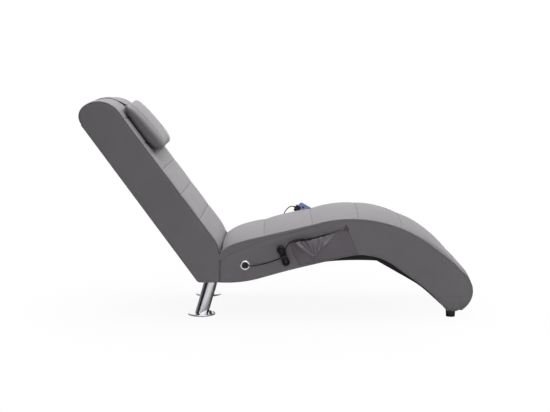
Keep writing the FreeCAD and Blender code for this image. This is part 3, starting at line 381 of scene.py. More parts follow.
@dataclass(frozen=True)
class Finish:
    """A finish, with the record's slot that it belongs to."""

    name: str
    slot: str
    colour: Colour
    grain: Grain
    roughness: float
    metallic: float = 0.0
    sheen: float = 0.0
    coat: float = 0.0
    stain: float = 0.08
    shine: float = 0.5

    def material(self) -> bpy.types.Material:
        """The finish as a node material, made once."""
        found = bpy.data.materials.get(self.name)
        return found if found else self._make()

    def _make(self) -> bpy.types.Material:
        """Build the node tree."""
        made = bpy.data.materials.new(self.name)
        made.use_nodes = True
        made.diffuse_color = (*self.colour, 1.0)
        tree = made.node_tree
        where = node(tree, "ShaderNodeTexCoord")["Object"]
        height, relief, strength = self._relief(tree, where)
        bump = node(tree, "ShaderNodeBump", {"Strength": strength, "Distance": relief, "Height": height})
        gloss = span(tree, cloud(tree, where, 17.0), (0.0, 1.0),
                     (self.roughness * 0.86, min(1.0, self.roughness * 1.14)))
        fill_inputs(tree, tree.nodes["Principled BSDF"], {
            "Metallic": self.metallic, "Sheen Weight": self.sheen, "Sheen Roughness": 0.5,
            "Coat Weight": self.coat, "Coat Roughness": 0.25, "Specular IOR Level": self.shine,
            "Normal": bump["Normal"], "Base Color": self._tint(tree, where, height), "Roughness": gloss})
        return made

    def _relief(self, tree: Tree,
                where: Socket) -> tuple[Socket, float, float]:
        """Height field of the grain, its depth in metres and its strength."""
        if self.grain is Grain.LEATHER:
            pebbles = node(tree, "ShaderNodeTexVoronoi",
                           {"Scale": 620.0, "Smoothness": 0.35, "Vector": where}, feature="SMOOTH_F1")
            height = node(tree, "ShaderNodeMix", {"Factor": 0.35, "A": pebbles["Distance"],
                                                  "B": cloud(tree, where, 190.0, 4.0)})["Result"]
            return height, 0.0005, 0.35
        if self.grain is Grain.WOVEN:
            yarns = [node(tree, "ShaderNodeTexWave", {"Scale": 240.0, "Distortion": 0.6, "Vector": where},
                          bands_direction=axis)["Fac"] for axis in ("X", "Y")]
            return larger(tree, *yarns), 0.0004, 0.6
        figure = FIGURES[self.grain]
        return cloud(tree, where, figure.scale, figure.detail, figure.stretch), figure.relief, figure.strength

    def _tint(self, tree: Tree, where: Socket,
              height: Socket) -> Socket:
        """Colour that drifts over the piece and darkens in the grain."""
        pale, deep = (tuple(min(1.0, c * (1 + way * self.stain)) for c in self.colour) for way in (1, -1))
        drift = cloud(tree, where, 9.0, 4.0)
        broad = node(tree, "ShaderNodeMix", {"A": (*deep, 1.0), "B": (*pale, 1.0), "Factor": drift},
                     data_type="RGBA")["Result"]
        ramp = tree.nodes.new("ShaderNodeValToRGB")
        ramp.color_ramp.elements[0].color = (0.62, 0.62, 0.62, 1.0)
        ramp.color_ramp.elements[1].position = 0.55
        fill_inputs(tree, ramp, {"Fac": height})
        return node(tree, "ShaderNodeMix", {"Factor": min(1.0, 2.2 * self.stain), "A": broad,
                                            "B": ramp.outputs["Color"]},
                    data_type="RGBA", blend_type="MULTIPLY")["Result"]


LEATHER = Finish("grey_leathercloth", "upholstery", (0.207, 0.195, 0.208), Grain.LEATHER, 0.46, sheen=0.12)
POCKET = Finish("pocket_leathercloth", "pocket_cloth", (0.172, 0.150, 0.171), Grain.LEATHER, 0.42, sheen=0.12)
DUST = Finish("black_lining", "dust_cloth", (0.012, 0.012, 0.012), Grain.WOVEN, 0.92, stain=0.2)
PLY = Finish("birch_ply", "plywood", (0.56, 0.41, 0.25), Grain.TIMBER, 0.62, stain=0.18)
PINE = Finish("sawn_pine", "softwood", (0.60, 0.43, 0.25), Grain.TIMBER, 0.68, stain=0.2)
SPRING = Finish("spring_wire", "spring_steel", (0.26, 0.25, 0.24), Grain.DRAWN, 0.38, 1.0)
ZINC = Finish("zinc_plate", "zinc_steel", (0.56, 0.56, 0.54), Grain.DRAWN, 0.34, 1.0)
CHROME = Finish("bright_chrome", "chrome", (0.885, 0.885, 0.92), Grain.PLATED, 0.07, 1.0, stain=0.01)
FELT = Finish("dark_felt", "felt", (0.05, 0.05, 0.05), Grain.WOVEN, 0.95, sheen=0.4, stain=0.2)
BLACK = Finish("black_moulding", "black_plastic", (0.014, 0.014, 0.015), Grain.MOULDED, 0.42, stain=0.12)
BOARD = Finish("board_green", "circuit_board", (0.02, 0.13, 0.05), Grain.MOULDED, 0.4, coat=0.3)
CORD = Finish("cord_jacket", "cord_rubber", (0.008, 0.008, 0.009), Grain.JACKET, 0.55, stain=0.12, shine=0.28)
TIE = Finish("twist_tie", "tie_wire", (0.010, 0.010, 0.010), Grain.MOULDED, 0.40, stain=0.12)
BLUE = Finish("pale_blue_moulding", "blue_plastic", (0.390, 0.545, 0.960), Grain.MOULDED, 0.36, coat=0.1)
KEYS = Finish("dark_blue_moulding", "button_plastic", (0.016, 0.032, 0.145), Grain.MOULDED, 0.36, coat=0.2)
# dark finish of the pocket's hem and tack stitches; on the hem the darkness is partly the elastic's own
# colour and partly painted shade of the pocket's opening
ELASTIC_AND_SHADE = Finish("dark_elastic", "pocket_cloth", (0.030, 0.026, 0.030), Grain.JACKET, 0.7, sheen=0.2,
                 stain=0.15)
THREAD = Finish("grey_thread", "upholstery", (0.085, 0.080, 0.084), Grain.JACKET, 0.7, sheen=0.3)

NODE_FINISH: dict[Finish, tuple[str, ...]] = {
    PLY: ("seat_cheek_far", "seat_cheek_near", "back_cheek_far", "back_cheek_near"),
    PINE: ("back_rails", "seat_rails"),
    SPRING: ("back_springs", "seat_springs"),
    ZINC: ("joint_bolts", "joint_nuts", "leg_screws", "front_foot_screws", "leg_top_plates", "motors",
           "rotor_lumbar", "rotor_upper_back", "rotor_thigh", "rotor_knee", "rotor_calf"),
    CHROME: ("leg_tube_near", "leg_tube_far", "leg_base_near", "leg_base_far", "grommets"),
    FELT: ("leg_felts",),
    BLACK: ("front_feet", "control_box_base", "control_box_lid", "motor_blocks"),
    BOARD: ("control_board", "handset_board"),
    CORD: ("wiring", "handset_relief", "power_plug", "power_lead_start", "power_lead_hank", "power_lead_end",
           "handset_lead_start", "handset_lead_hank", "handset_lead_end"),
    TIE: ("lead_ties",),
    POCKET: ("pocket_far", "pocket_near"),
    DUST: ("dust_cover",),
    BLUE: ("handset_face", "handset_shell"),
    KEYS: ("button_power", "button_mode", "button_speed", "button_zone"),
}


def dress(piece: Piece, finish: Finish) -> None:
    """Give a piece one finish all over.

    Args:
        piece: a mesh or curve object.
        finish: its finish.
    """
    piece.data.materials.clear()
    piece.data.materials.append(finish.material())


def add_object(name: str, data: bpy.types.ID) -> Piece:
    """New object in the scene.

    Args:
        name: its name.
        data: its mesh, curve, lamp or camera.

    Returns:
        The object.
    """
    made = bpy.data.objects.new(name, data)
    bpy.context.scene.collection.objects.link(made)
    return made


def mesh_object(name: str, verts: Sequence[Sequence[float]], faces: Sequence[Sequence[int]],
                smooth: bool = True, weld: bool = False) -> Piece:
    """New mesh object at the origin, with its faces turned outwards.

    Args:
        name: the piece's name.
        verts: its points in metres.
        faces: its polygons.
        smooth: whether it is shaded smooth.
        weld: whether points that meet become one.

    Returns:
        The object.
    """
    mesh = bpy.data.meshes.new(name)
    mesh.from_pydata([tuple(v) for v in verts], [], [tuple(f) for f in faces])
    tidy = bmesh.new()
    tidy.from_mesh(mesh)
    if weld:
        bmesh.ops.remove_doubles(tidy, verts=tidy.verts, dist=1e-6)
    bmesh.ops.recalc_face_normals(tidy, faces=tidy.faces)
    tidy.to_mesh(mesh)
    tidy.free()
    mesh.polygons.foreach_set("use_smooth", [smooth] * len(mesh.polygons))
    return add_object(name, mesh)


def add_piece(piece: Piece, finish: Finish, body: str | None, *nodes: str) -> Piece:
    """Dress a piece, let it ride and let it stand for its nodes.

    Args:
        piece: the object.
        finish: its finish.
        body: the body it rides on, or None where it is blended later.
        nodes: the nodes that it stands for.

    Returns:
        The same object.
    """
    dress(piece, finish)
    if body:
        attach(piece, body)
    if nodes:
        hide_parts(*nodes)
    LOG.info("piece %s", piece.name)
    return piece


def refine(piece: Piece, levels: int = 1) -> None:
    """Subdivide a piece smoothly, the same in view and render."""
    smooth = piece.modifiers.new("smooth", "SUBSURF")
    smooth.levels = levels
    smooth.render_levels = levels


def plain_mesh(piece: Piece) -> None:
    """Turn a piece's modifiers into its own mesh."""
    graph = bpy.context.evaluated_depsgraph_get()
    made = bpy.data.meshes.new_from_object(piece.evaluated_get(graph))
    piece.modifiers.clear()
    piece.data = made


def rings_object(name: str, rings: Grid, smooth: bool = True) -> Piece:
    """Closed skin over rings of points, with a lid on the first and on the last.

    Args:
        name: the piece's name.
        rings: points round each ring, the same number in all.
        smooth: whether it is shaded smooth.

    Returns:
        The object.
    """
    size = len(rings[0])
    faces = [[r * size + k, r * size + (k + 1) % size, (r + 1) * size + (k + 1) % size, (r + 1) * size + k]
             for r in range(len(rings) - 1) for k in range(size)]
    last = (len(rings) - 1) * size
    faces += [list(range(size)), [last + k for k in range(size)]]
    return mesh_object(name, [p for ring in rings for p in ring], faces, smooth)


def shell(name: str, outer: Grid, inner: Grid) -> Piece:
    """Closed sheet between two grids of points.

    Args:
        name: the piece's name.
        outer: rows of points of the outer face.
        inner: rows of points of the inner face.

    Returns:
        The object.
    """
    rows, columns = len(outer), len(outer[0])
    verts = [p for row in outer for p in row] + [p for row in inner for p in row]
    base = rows * columns
    faces: list[list[int]] = []
    for r in range(rows - 1):
        for c in range(columns - 1):
            a = r * columns + c
            faces.append([a, a + 1, a + columns + 1, a + columns])
            faces.append([base + a, base + a + columns, base + a + columns + 1, base + a + 1])
    ring = list(range(columns)) + [r * columns + columns - 1 for r in range(1, rows)]
    ring += [(rows - 1) * columns + c for c in range(columns - 2, -1, -1)]
    ring += [r * columns for r in range(rows - 2, 0, -1)]
    for k, a in enumerate(ring):
        b = ring[(k + 1) % len(ring)]
        faces.append([a, base + a, base + b, b])
    return mesh_object(name, verts, faces)


def sheet(name: str, outer: Grid, shift: Vector) -> Piece:
    """Closed sheet of even thickness.

    Args:
        name: the piece's name.
        outer: rows of points of the outer face.
        shift: from the outer face to the inner one.

    Returns:
        The object.
    """
    return shell(name, outer, [[p + shift for p in row] for row in outer])


def lathe(name: str, middles: Sequence[tuple[Vector, Vector]], profile: Sequence[Spot],
          sides: int = 40) -> Piece:
    """Turned rings or plugs, one for each middle, as one mesh.

    Args:
        name: the piece's name.
        middles: the middle and the axis of each.
        profile: radius and height of each point of the closed section.
        sides: points round the axis.

    Returns:
        The object.
    """
    verts: list[Vector] = []
    faces: list[list[int]] = []
    count = len(profile)
    for middle, axis in middles:
        base = len(verts)
        side = axis.orthogonal().normalized()
        up = axis.cross(side)
        for k in range(sides):
            angle = 2 * math.pi * k / sides
            spoke = side * math.cos(angle) + up * math.sin(angle)
            verts.extend(middle + spoke * radius + axis * height for radius, height in profile)
        for k in range(sides):
            low, high = base + k * count, base + (k + 1) % sides * count
            faces.extend([low + i, low + (i + 1) % count, high + (i + 1) % count, high + i]
                         for i in range(count))
    return mesh_object(name, verts, faces, weld=True)


def cover_height(cover: BVHTree, start: Vector, inward: Vector) -> float:
    """How far a cover lies from a point along a direction, or a long way where it is missed."""
    hit = cover.ray_cast(start, inward)
    return hit[3] if hit[0] else 1.0


def unit(value: float) -> float:
    """A value held between 0 and 1."""
    return min(1.0, max(0.0, value))


def smooth(value: float) -> float:
    """A share from 0 to 1 that starts and ends softly."""
    t = unit(value)
    return t * t * (3 - 2 * t)


def sway(point: Vector, scale: float, seed: float) -> float:
    """Smooth noise from -1 to 1 at a point.

    Args:
        point: where.
        scale: waves in a metre.
        seed: shifts the pattern.

    Returns:
        The noise.
    """
    return noise.noise(Vector((point.x * scale + seed, point.y * scale, point.z * scale)))


@dataclass(frozen=True)
class Uneven:
    """Faint unevenness of a stretched cover: a broad and a fine sway, each with its scale and seed."""

    broad: Spot
    fine: Spot
    height: float = 0.0007
    fine_height: float = 0.0003

    def at(self, point: Vector) -> float:
        """Height at a point."""
        return self.height * sway(point, *self.broad) + self.fine_height * sway(point, *self.fine)


class Zone(Enum):
    """Part of a cushion's section."""

    TOP = 0
    SIDE = 1
    BED = 2


def eased(stops: Sequence[Spot], s: float) -> float:
    """Value of a smooth line through stops.

    Args:
        stops: places along the line with the value at each.
        s: the place asked for.

    Returns:
        The value there; outside the stops, that of the nearest one.
    """
    if s <= stops[0][0]:
        return stops[0][1]
    for k in range(len(stops) - 1):
        (a, low), (b, high) = stops[k], stops[k + 1]
        if s > b:
            continue
        before, after = stops[max(0, k - 1)], stops[min(len(stops) - 1, k + 2)]
        leave = (high - before[1]) / (b - before[0]) * (b - a)
        arrive = (after[1] - low) / (after[0] - a) * (b - a)
        t = (s - a) / (b - a)
        bend = leave * t * (1 - t) ** 2 - arrive * t * t * (1 - t)
        return low + (high - low) * t * t * (3 - 2 * t) + bend
    return stops[-1][1]


@dataclass
class Cushion:
    """A crowned and channelled pad that follows a line of the side view."""

    name: str
    track: Track
    outward: float
    end: float
    seams: list[float]
    crowns: tuple[Spot, ...]
    rises: tuple[Spot, ...]
    roll: float
    hem: float
    soft_hem: float
    soft_length: float
    puff: float
    depth: float
    end_depth: float
    fade: Spot
    thin_from: float
    lip: float
    lip_length: float
    start: float = 0.0
    dive: float = 0.011
    half: float = 0.2556
    seam_dip: float = 0.0018
    seam_width: float = 0.0024
    seam_clear: float = 0.008
    seam_held: float = 0.0061
    start_held: float = 0.012
    end_held: float = 0.004
    seam_steps: tuple[float, ...] = (-0.006, -0.0033, -0.0016, 0.0, 0.0016, 0.0033, 0.006)
    sewn_lift: float = 0.0015
    dive_length: float = 0.008
    tuck: float = 0.0008
    hollow: float = 0.0026
    step: float = 0.0105
    cap: float = 0.003
    rows: list[float] = field(default_factory=list)
    width: int = 0

    def drop_at(self, s: float) -> float:
        """How far under the pad's edge the cover is sewn to the side panel: farther at the start."""
        return self.roll * 1.18 + self.hem + self.soft_hem * math.exp(-max(0.0, s) / self.soft_length)

    def rise_at(self, s: float) -> float:
        """How far the pad's edge stands over the top line at a distance along the track."""
        return eased(self.rises, s)

    def fade_at(self, s: float) -> float:
        """How far the crown has run out at a distance along the track, from 0 to 1."""
        return smooth((s - self.fade[0]) / (self.fade[1] - self.fade[0]))

    def foot_at(self, s: float) -> tuple[Vector, Vector]:
        """Point of the top line at a distance along the track, and the way out of the pad there."""
        point, heading = self.track.place(s)
        return point, Vector((-heading.y, heading.x)) * self.outward

    def sewn_at(self, s: float) -> Vector:
        """Place of the side seam in the side view at a distance along the track."""
        point, normal = self.foot_at(s)
        return point + normal * (self.rise_at(s) - self.drop_at(s) + self.sewn_lift)

    def stations(self) -> list[float]:
        """Places of the sections: even ones, and close ones at the seams."""
        stops = [self.start, *self.seams, self.end]
        found = {self.start, self.end}
        for low, high in zip(stops, stops[1:]):
            count = max(2, round((high - low) / self.step))
            found.update(low + (high - low) * i / count for i in range(1, count))
        for seam in self.seams:
            found = {s for s in found if abs(s - seam) > self.seam_clear}
            found.update(seam + d for d in self.seam_steps)
        found.update(self.start + self.lip_length * t for t in (0.015, 0.04, 0.08))
        return sorted(found)

    def columns(self) -> list[tuple[Zone, float]]:
        """Places round the section, from the near side's foot over the top and back along the bed."""
        edge = [math.sin(math.radians(a)) ** 0.25 for a in (52, 60, 67, 74, 80, 85, 90)]
        count = 44
        flat = [0.925 * (2 * i / count - 1) for i in range(count + 1)]
        top = [-t for t in reversed(edge)] + flat + edge
        side = [1.0, 0.8, 0.6, 0.4, 0.2]
        bed = [1 - 2 * i / 24 for i in range(25)]
        return ([(Zone.SIDE, -b) for b in side] + [(Zone.TOP, t) for t in top]
                + [(Zone.SIDE, b) for b in reversed(side)] + [(Zone.BED, t) for t in bed])

    def shape(self, zone: Zone, place: float, s: float) -> tuple[float, float]:
        """Y and height over the top line of one point of the section.

        Args:
            zone: part of the section.
            place: place within it.
            s: distance along the track.

        Returns:
            Y and height.
        """
        fade = self.fade_at(s)
        thin = unit((s - self.thin_from) / (self.end - self.thin_from))
        crown = eased(self.crowns, s)
        roll, drop, rise = self.roll, self.drop_at(s), self.rise_at(s)
        depth = self.depth * (1 - thin) + self.end_depth * thin
        stops = [self.start, *self.seams, self.end]
        index = next(i for i in range(len(stops) - 1) if s <= stops[i + 1] + 1e-9)
        share = (s - stops[index]) / (stops[index + 1] - stops[index])
        full = 1 - abs(2 * share - 1) ** 5
        if index == 0:
            full = 1 - max(0.0, 2 * share - 1) ** 5
        if index == len(stops) - 2:
            full = 1 - max(0.0, 1 - 2 * share) ** 5
        full *= 1 - 0.6 * fade
        near_seam = max((math.exp(-((s - seam) / self.seam_width) ** 2) for seam in self.seams), default=0.0)
        fall = 1 - (s - self.start) / self.lip_length
        lip = self.lip * (1 - math.sqrt(max(0.0, 1 - fall * fall))) if fall > 0 else 0.0
        lip += self.dive * math.exp(-(s - self.start) / self.dive_length)
        tuck = self.tuck * (1 - full)
        if zone is Zone.TOP:
            t = abs(place)
            height = (crown * (1 - t * t) + self.puff * full * (1 - t ** 6)
                      + roll * (math.sqrt(max(0.0, 1 - t ** 8)) - 1))
            height -= self.seam_dip * near_seam * (1 - fade) * (1 - 0.5 * t ** 8)
            return place * (self.half - tuck), height - lip + rise
        if zone is Zone.SIDE:
            b = abs(place)
            hollow = self.hollow * unit((drop - 0.012) / 0.030)
            swell = (0.0006 - hollow) * math.sin(math.pi * b) - 0.0016 * b ** 6
            height = rise - roll - (drop - roll) * b - lip * (1 - b)
            return math.copysign(self.half - tuck * (1 - b) + swell, place), height
        return place * (self.half - 0.010), -max(depth, drop + 0.004)

    def build(self) -> Piece:
        """The pad's mesh, with its seams' rows kept for the stitches."""
        self.rows = self.stations()
        columns = self.columns()
        self.width = len(columns)
        rings: list[list[Vector]] = []
        for s in self.rows:
            point, normal = self.foot_at(s)
            ring = []
            for zone, place in columns:
                y, height = self.shape(zone, place, s)
                ring.append(stood(point + normal * height, y))
            rings.append(ring)
        piece = rings_object(self.name, rings)
        self._swell(piece, columns)
        refine(piece)
        return piece

    def _swell(self, piece: Piece, columns: Sequence[tuple[Zone, float]]) -> None:
        """Let the cover swell between its held seams by simulation."""
        held: list[int] = []
        for r, s in enumerate(self.rows):
            seam = min((abs(s - seam) for seam in self.seams), default=1.0) < self.seam_held
            ends = s < self.start + self.start_held or s > self.end - self.end_held
            for c, (zone, place) in enumerate(columns):
                if seam or ends or zone is Zone.BED or (zone is Zone.SIDE and abs(place) > 0.3):
                    held.append(r * self.width + c)
        simulate(piece, held, self.cap)

    def seam_lines(self, piece: Piece, lift: float) -> list[list[Vector]]:
        """Lines along the seams, lifted off the cover.

        Args:
            piece: the finished pad, before its subdivision.
            lift: how far the line lies above the groove.

        Returns:
            A list of points for each seam.
        """
        lines = []
        tops = [c for c, (zone, _) in enumerate(self.columns()) if zone is Zone.TOP]
        for seam in self.seams:
            row = min(range(len(self.rows)), key=lambda r: abs(self.rows[r] - seam))
            normal = self.foot_at(self.rows[row])[1].to_3d().xzy
            lines.append([piece.data.vertices[row * self.width + c].co + normal * lift for c in tops[2:-2]])
        return lines


CLOTH: dict[str, float | bool] = {
    "quality": 4, "mass": 0.4, "tension_stiffness": 12.0, "compression_stiffness": 12.0,
    "shear_stiffness": 5.0, "bending_stiffness": 0.6, "air_damping": 2.0, "use_pressure": True,
    "uniform_pressure_force": 4.0,
}
SWELL_FRAMES = 20


def simulate(piece: Piece, held: Sequence[int], cap: float) -> None:
    """Blow a closed cover up like cloth and keep the result.

    Args:
        piece: a closed mesh object.
        held: its points that stay.
        cap: the farthest that a point may move, in metres.
    """
    scene = bpy.context.scene
    group = piece.vertex_groups.new(name="held")
    group.add(list(held), 1.0, "REPLACE")
    before = np.array([v.co for v in piece.data.vertices], float)
    cloth = piece.modifiers.new("swell", "CLOTH")
    for setting, value in CLOTH.items():
        setattr(cloth.settings, setting, value)
    cloth.settings.effector_weights.gravity = 0.0
    cloth.settings.vertex_group_mass = group.name
    cloth.collision_settings.use_collision = False
    cloth.collision_settings.use_self_collision = False
    cloth.point_cache.frame_start = 1
    cloth.point_cache.frame_end = SWELL_FRAMES
    for number in range(1, SWELL_FRAMES + 1):
        scene.frame_set(number)
    graph = bpy.context.evaluated_depsgraph_get()
    shaped = piece.evaluated_get(graph).to_mesh()
    after = np.array([v.co for v in shaped.vertices], float)
    piece.evaluated_get(graph).to_mesh_clear()
    piece.modifiers.remove(cloth)
    scene.frame_set(1)
    move = after - before
    size = np.linalg.norm(move, axis=1, keepdims=True)
    move *= np.minimum(1.0, cap / np.maximum(size, 1e-9))
    piece.data.vertices.foreach_set("co", (before + move).astype(np.float32).ravel())
    piece.data.update()
    piece.vertex_groups.clear()
    LOG.info("cover %s swelled by %.1f mm at most", piece.name, float(size.max()) * 1000)


@dataclass
class Panel:
    """A flat side cover with soft edges and a faint unevenness."""

    name: str
    outline: list[Vector]
    side: Side
    uneven: Uneven
    plane: float = 0.2552
    thick: float = 0.0032
    soft: float = 0.0075
    sink: float = 0.0030
    calm: float = 0.03
    grid: float = 0.013

    def build(self) -> Piece:
        """Outer skin over a triangulated outline, with a rim and a flat back."""
        ring = [p.copy() for p in self.outline]
        count = len(ring)
        loop = np.array([(p.x, p.y) for p in ring])
        inner = self._inside(loop)
        points, _, faces, *_ = delaunay_2d_cdt(
            ring + [Vector(p) for p in inner], [], [list(range(count))], 1, 1e-7)
        spots = np.array([(p.x, p.y) for p in points])
        edge = self._from_edge(spots, loop)
        sign = self.side.value
        verts: list[tuple[float, float, float]] = []
        for (x, z), distance in zip(spots, edge):
            fall = max(0.0, 1 - distance / self.soft)
            bump = self.uneven.at(Vector((x, sign * self.plane, z))) * min(1.0, distance / self.calm)
            verts.append((x, sign * (self.plane - self.sink * fall * fall + bump), z))
        total = len(verts)
        border = self._border(faces)
        verts.extend((points[i].x, sign * (self.plane - self.sink - self.thick), points[i].y) for i in border)
        polygons = [list(f) for f in faces]
        for k in range(len(border)):
            m = (k + 1) % len(border)
            polygons.append([border[k], border[m], total + m, total + k])
        polygons.append([total + k for k in range(len(border))])
        return mesh_object(self.name, verts, polygons)

    def _inside(self, loop: np.ndarray) -> list[Spot]:
        """Grid points inside the outline and two rows along its edge."""
        low, high = loop.min(0), loop.max(0)
        xs = np.arange(low[0], high[0], self.grid)
        zs = np.arange(low[1], high[1], self.grid)
        spots = np.array([(x, z) for x in xs for z in zs])
        step = np.roll(loop, -1, 0) - np.roll(loop, 1, 0)
        step /= np.maximum(np.linalg.norm(step, axis=1, keepdims=True), 1e-9)
        area = np.sum(loop[:, 0] * np.roll(loop[:, 1], -1) - loop[:, 1] * np.roll(loop[:, 0], -1))
        inward = np.stack([-step[:, 1], step[:, 0]], 1) * math.copysign(1.0, area)
        keep = spots[self._contains(spots, loop) & (self._from_edge(spots, loop) > self.soft * 1.5)]
        rows = [keep]
        for depth in (0.35, 0.75):
            row = loop + inward * self.soft * depth
            rows.append(row[self._contains(row, loop)
                            & (self._from_edge(row, loop) > self.soft * depth * 0.9)])
        return [tuple(p) for row in rows for p in row]

    @staticmethod
    def _contains(spots: np.ndarray, loop: np.ndarray) -> np.ndarray:
        """Whether each point lies inside the outline."""
        inside = np.zeros(len(spots), bool)
        for (ax, az), (bx, bz) in zip(loop, np.roll(loop, -1, 0)):
            if abs(bz - az) < 1e-12:
                continue
            cross = (az > spots[:, 1]) != (bz > spots[:, 1])
            inside ^= cross & (spots[:, 0] < (bx - ax) * (spots[:, 1] - az) / (bz - az) + ax)
        return inside

    @staticmethod
    def _from_edge(spots: np.ndarray, loop: np.ndarray) -> np.ndarray:
        """Distance of each point from the outline."""
        best = np.full(len(spots), 1e9)
        for a, b in zip(loop, np.roll(loop, -1, 0)):
            d = b - a
            t = np.clip(((spots - a) @ d) / max(d @ d, 1e-18), 0, 1)
            best = np.minimum(best, np.linalg.norm(spots - a - t[:, None] * d, axis=1))
        return best

    @staticmethod
    def _border(faces: Sequence[Sequence[int]]) -> list[int]:
        """The skin's border in order."""
        used = dict.fromkeys((face[k], face[(k + 1) % len(face)]) for face in faces for k in range(len(face)))
        following = {a: b for (a, b) in used if (b, a) not in used}
        start = next(iter(following))
        ring = [start]
        while following[ring[-1]] != start:
            ring.append(following[ring[-1]])
        return ring


class StitchTree:
    """Geometry nodes that lay stitches along lines."""

    NAME = "stitch_rows"

    @classmethod
    def group(cls) -> Tree:
        """The node group, made once."""
        found = bpy.data.node_groups.get(cls.NAME)
        return found if found else cls._make()

    @classmethod
    def _make(cls) -> Tree:
        """Build the tree: resample the lines and set a thread on each point."""
        tree = bpy.data.node_groups.new(cls.NAME, "GeometryNodeTree")
        face = tree.interface
        face.new_socket("Geometry", in_out="INPUT", socket_type="NodeSocketGeometry")
        for label, value in (("Pitch", 0.0055), ("Length", 0.0040), ("Radius", 0.00055)):
            face.new_socket(label, in_out="INPUT", socket_type="NodeSocketFloat").default_value = value
        face.new_socket("Thread", in_out="INPUT", socket_type="NodeSocketMaterial")
        face.new_socket("Geometry", in_out="OUTPUT", socket_type="NodeSocketGeometry")
        given = node(tree, "NodeGroupInput")
        line = node(tree, "GeometryNodeMeshToCurve", {"Mesh": given["Geometry"]})["Curve"]
        spots = node(tree, "GeometryNodeResampleCurve", {"Curve": line, "Length": given["Pitch"]},
                     mode="LENGTH")["Curve"]
        heading = node(tree, "GeometryNodeInputTangent")["Tangent"]
        turn = node(tree, "FunctionNodeAlignRotationToVector", {"Vector": heading}, axis="Z")["Rotation"]
        thread = node(tree, "GeometryNodeMeshCylinder", {"Vertices": 6, "Radius": given["Radius"],
                                                         "Depth": given["Length"]})["Mesh"]
        laid = node(tree, "GeometryNodeInstanceOnPoints", {"Points": spots, "Instance": thread,
                                                           "Rotation": turn})["Instances"]
        real = node(tree, "GeometryNodeRealizeInstances", {"Geometry": laid})["Geometry"]
        paint = node(tree, "GeometryNodeSetMaterial", {"Geometry": real, "Material": given["Thread"]})
        node(tree, "NodeGroupOutput", {"Geometry": paint["Geometry"]})
        return tree

    @classmethod
    def lay(cls, name: str, lines: Grid, finish: Finish, body: str = ROOT,
            **sizes: float) -> Piece:
        """Add stitches along lines as one plain mesh.

        Args:
            name: the piece's name.
            lines: the rows' points.
            finish: the thread's finish.
            body: the body it rides on.
            sizes: the tree's sizes that aren't the usual ones.

        Returns:
            The object.
        """
        verts = [p for row in lines for p in row]
        edges = []
        first = 0
        for row in lines:
            edges.extend((first + i, first + i + 1) for i in range(len(row) - 1))
            first += len(row)
        mesh = bpy.data.meshes.new(name)
        mesh.from_pydata([tuple(v) for v in verts], edges, [])
        piece = add_object(name, mesh)
        tree = cls.group()
        worker = piece.modifiers.new("stitches", "NODES")
        worker.node_group = tree
        given = {**sizes, "thread": finish.material()}
        for item in tree.interface.items_tree:
            if item.in_out == "INPUT" and item.name.lower() in given:
                worker[item.identifier] = given[item.name.lower()]
        plain_mesh(piece)
        return add_piece(piece, finish, body)


SEAM_LIFT = 0.0004


def upholster(pad: Cushion, word: str, outline: list[Vector], uneven: Uneven) -> Piece:
    """Make a module's pad, its stitched seams and its two side covers.

    Args:
        pad: the pad's sizes.
        word: the module's name as the nodes spell it.
        outline: outline of the side covers.
        uneven: their unevenness.

    Returns:
        The pad.
    """
    cushion = pad.build()
    lines = pad.seam_lines(cushion, SEAM_LIFT)
    add_piece(cushion, LEATHER, ROOT, word + "_pad")
    StitchTree.lay(word + "_stitches", lines, THREAD)
    for side in Side:
        panel = Panel("%s_side_%s" % (word, side.word), outline, side, uneven)
        add_piece(panel.build(), LEATHER, ROOT, "%s_side_cover_%s" % (word, side.word))
    return cushion


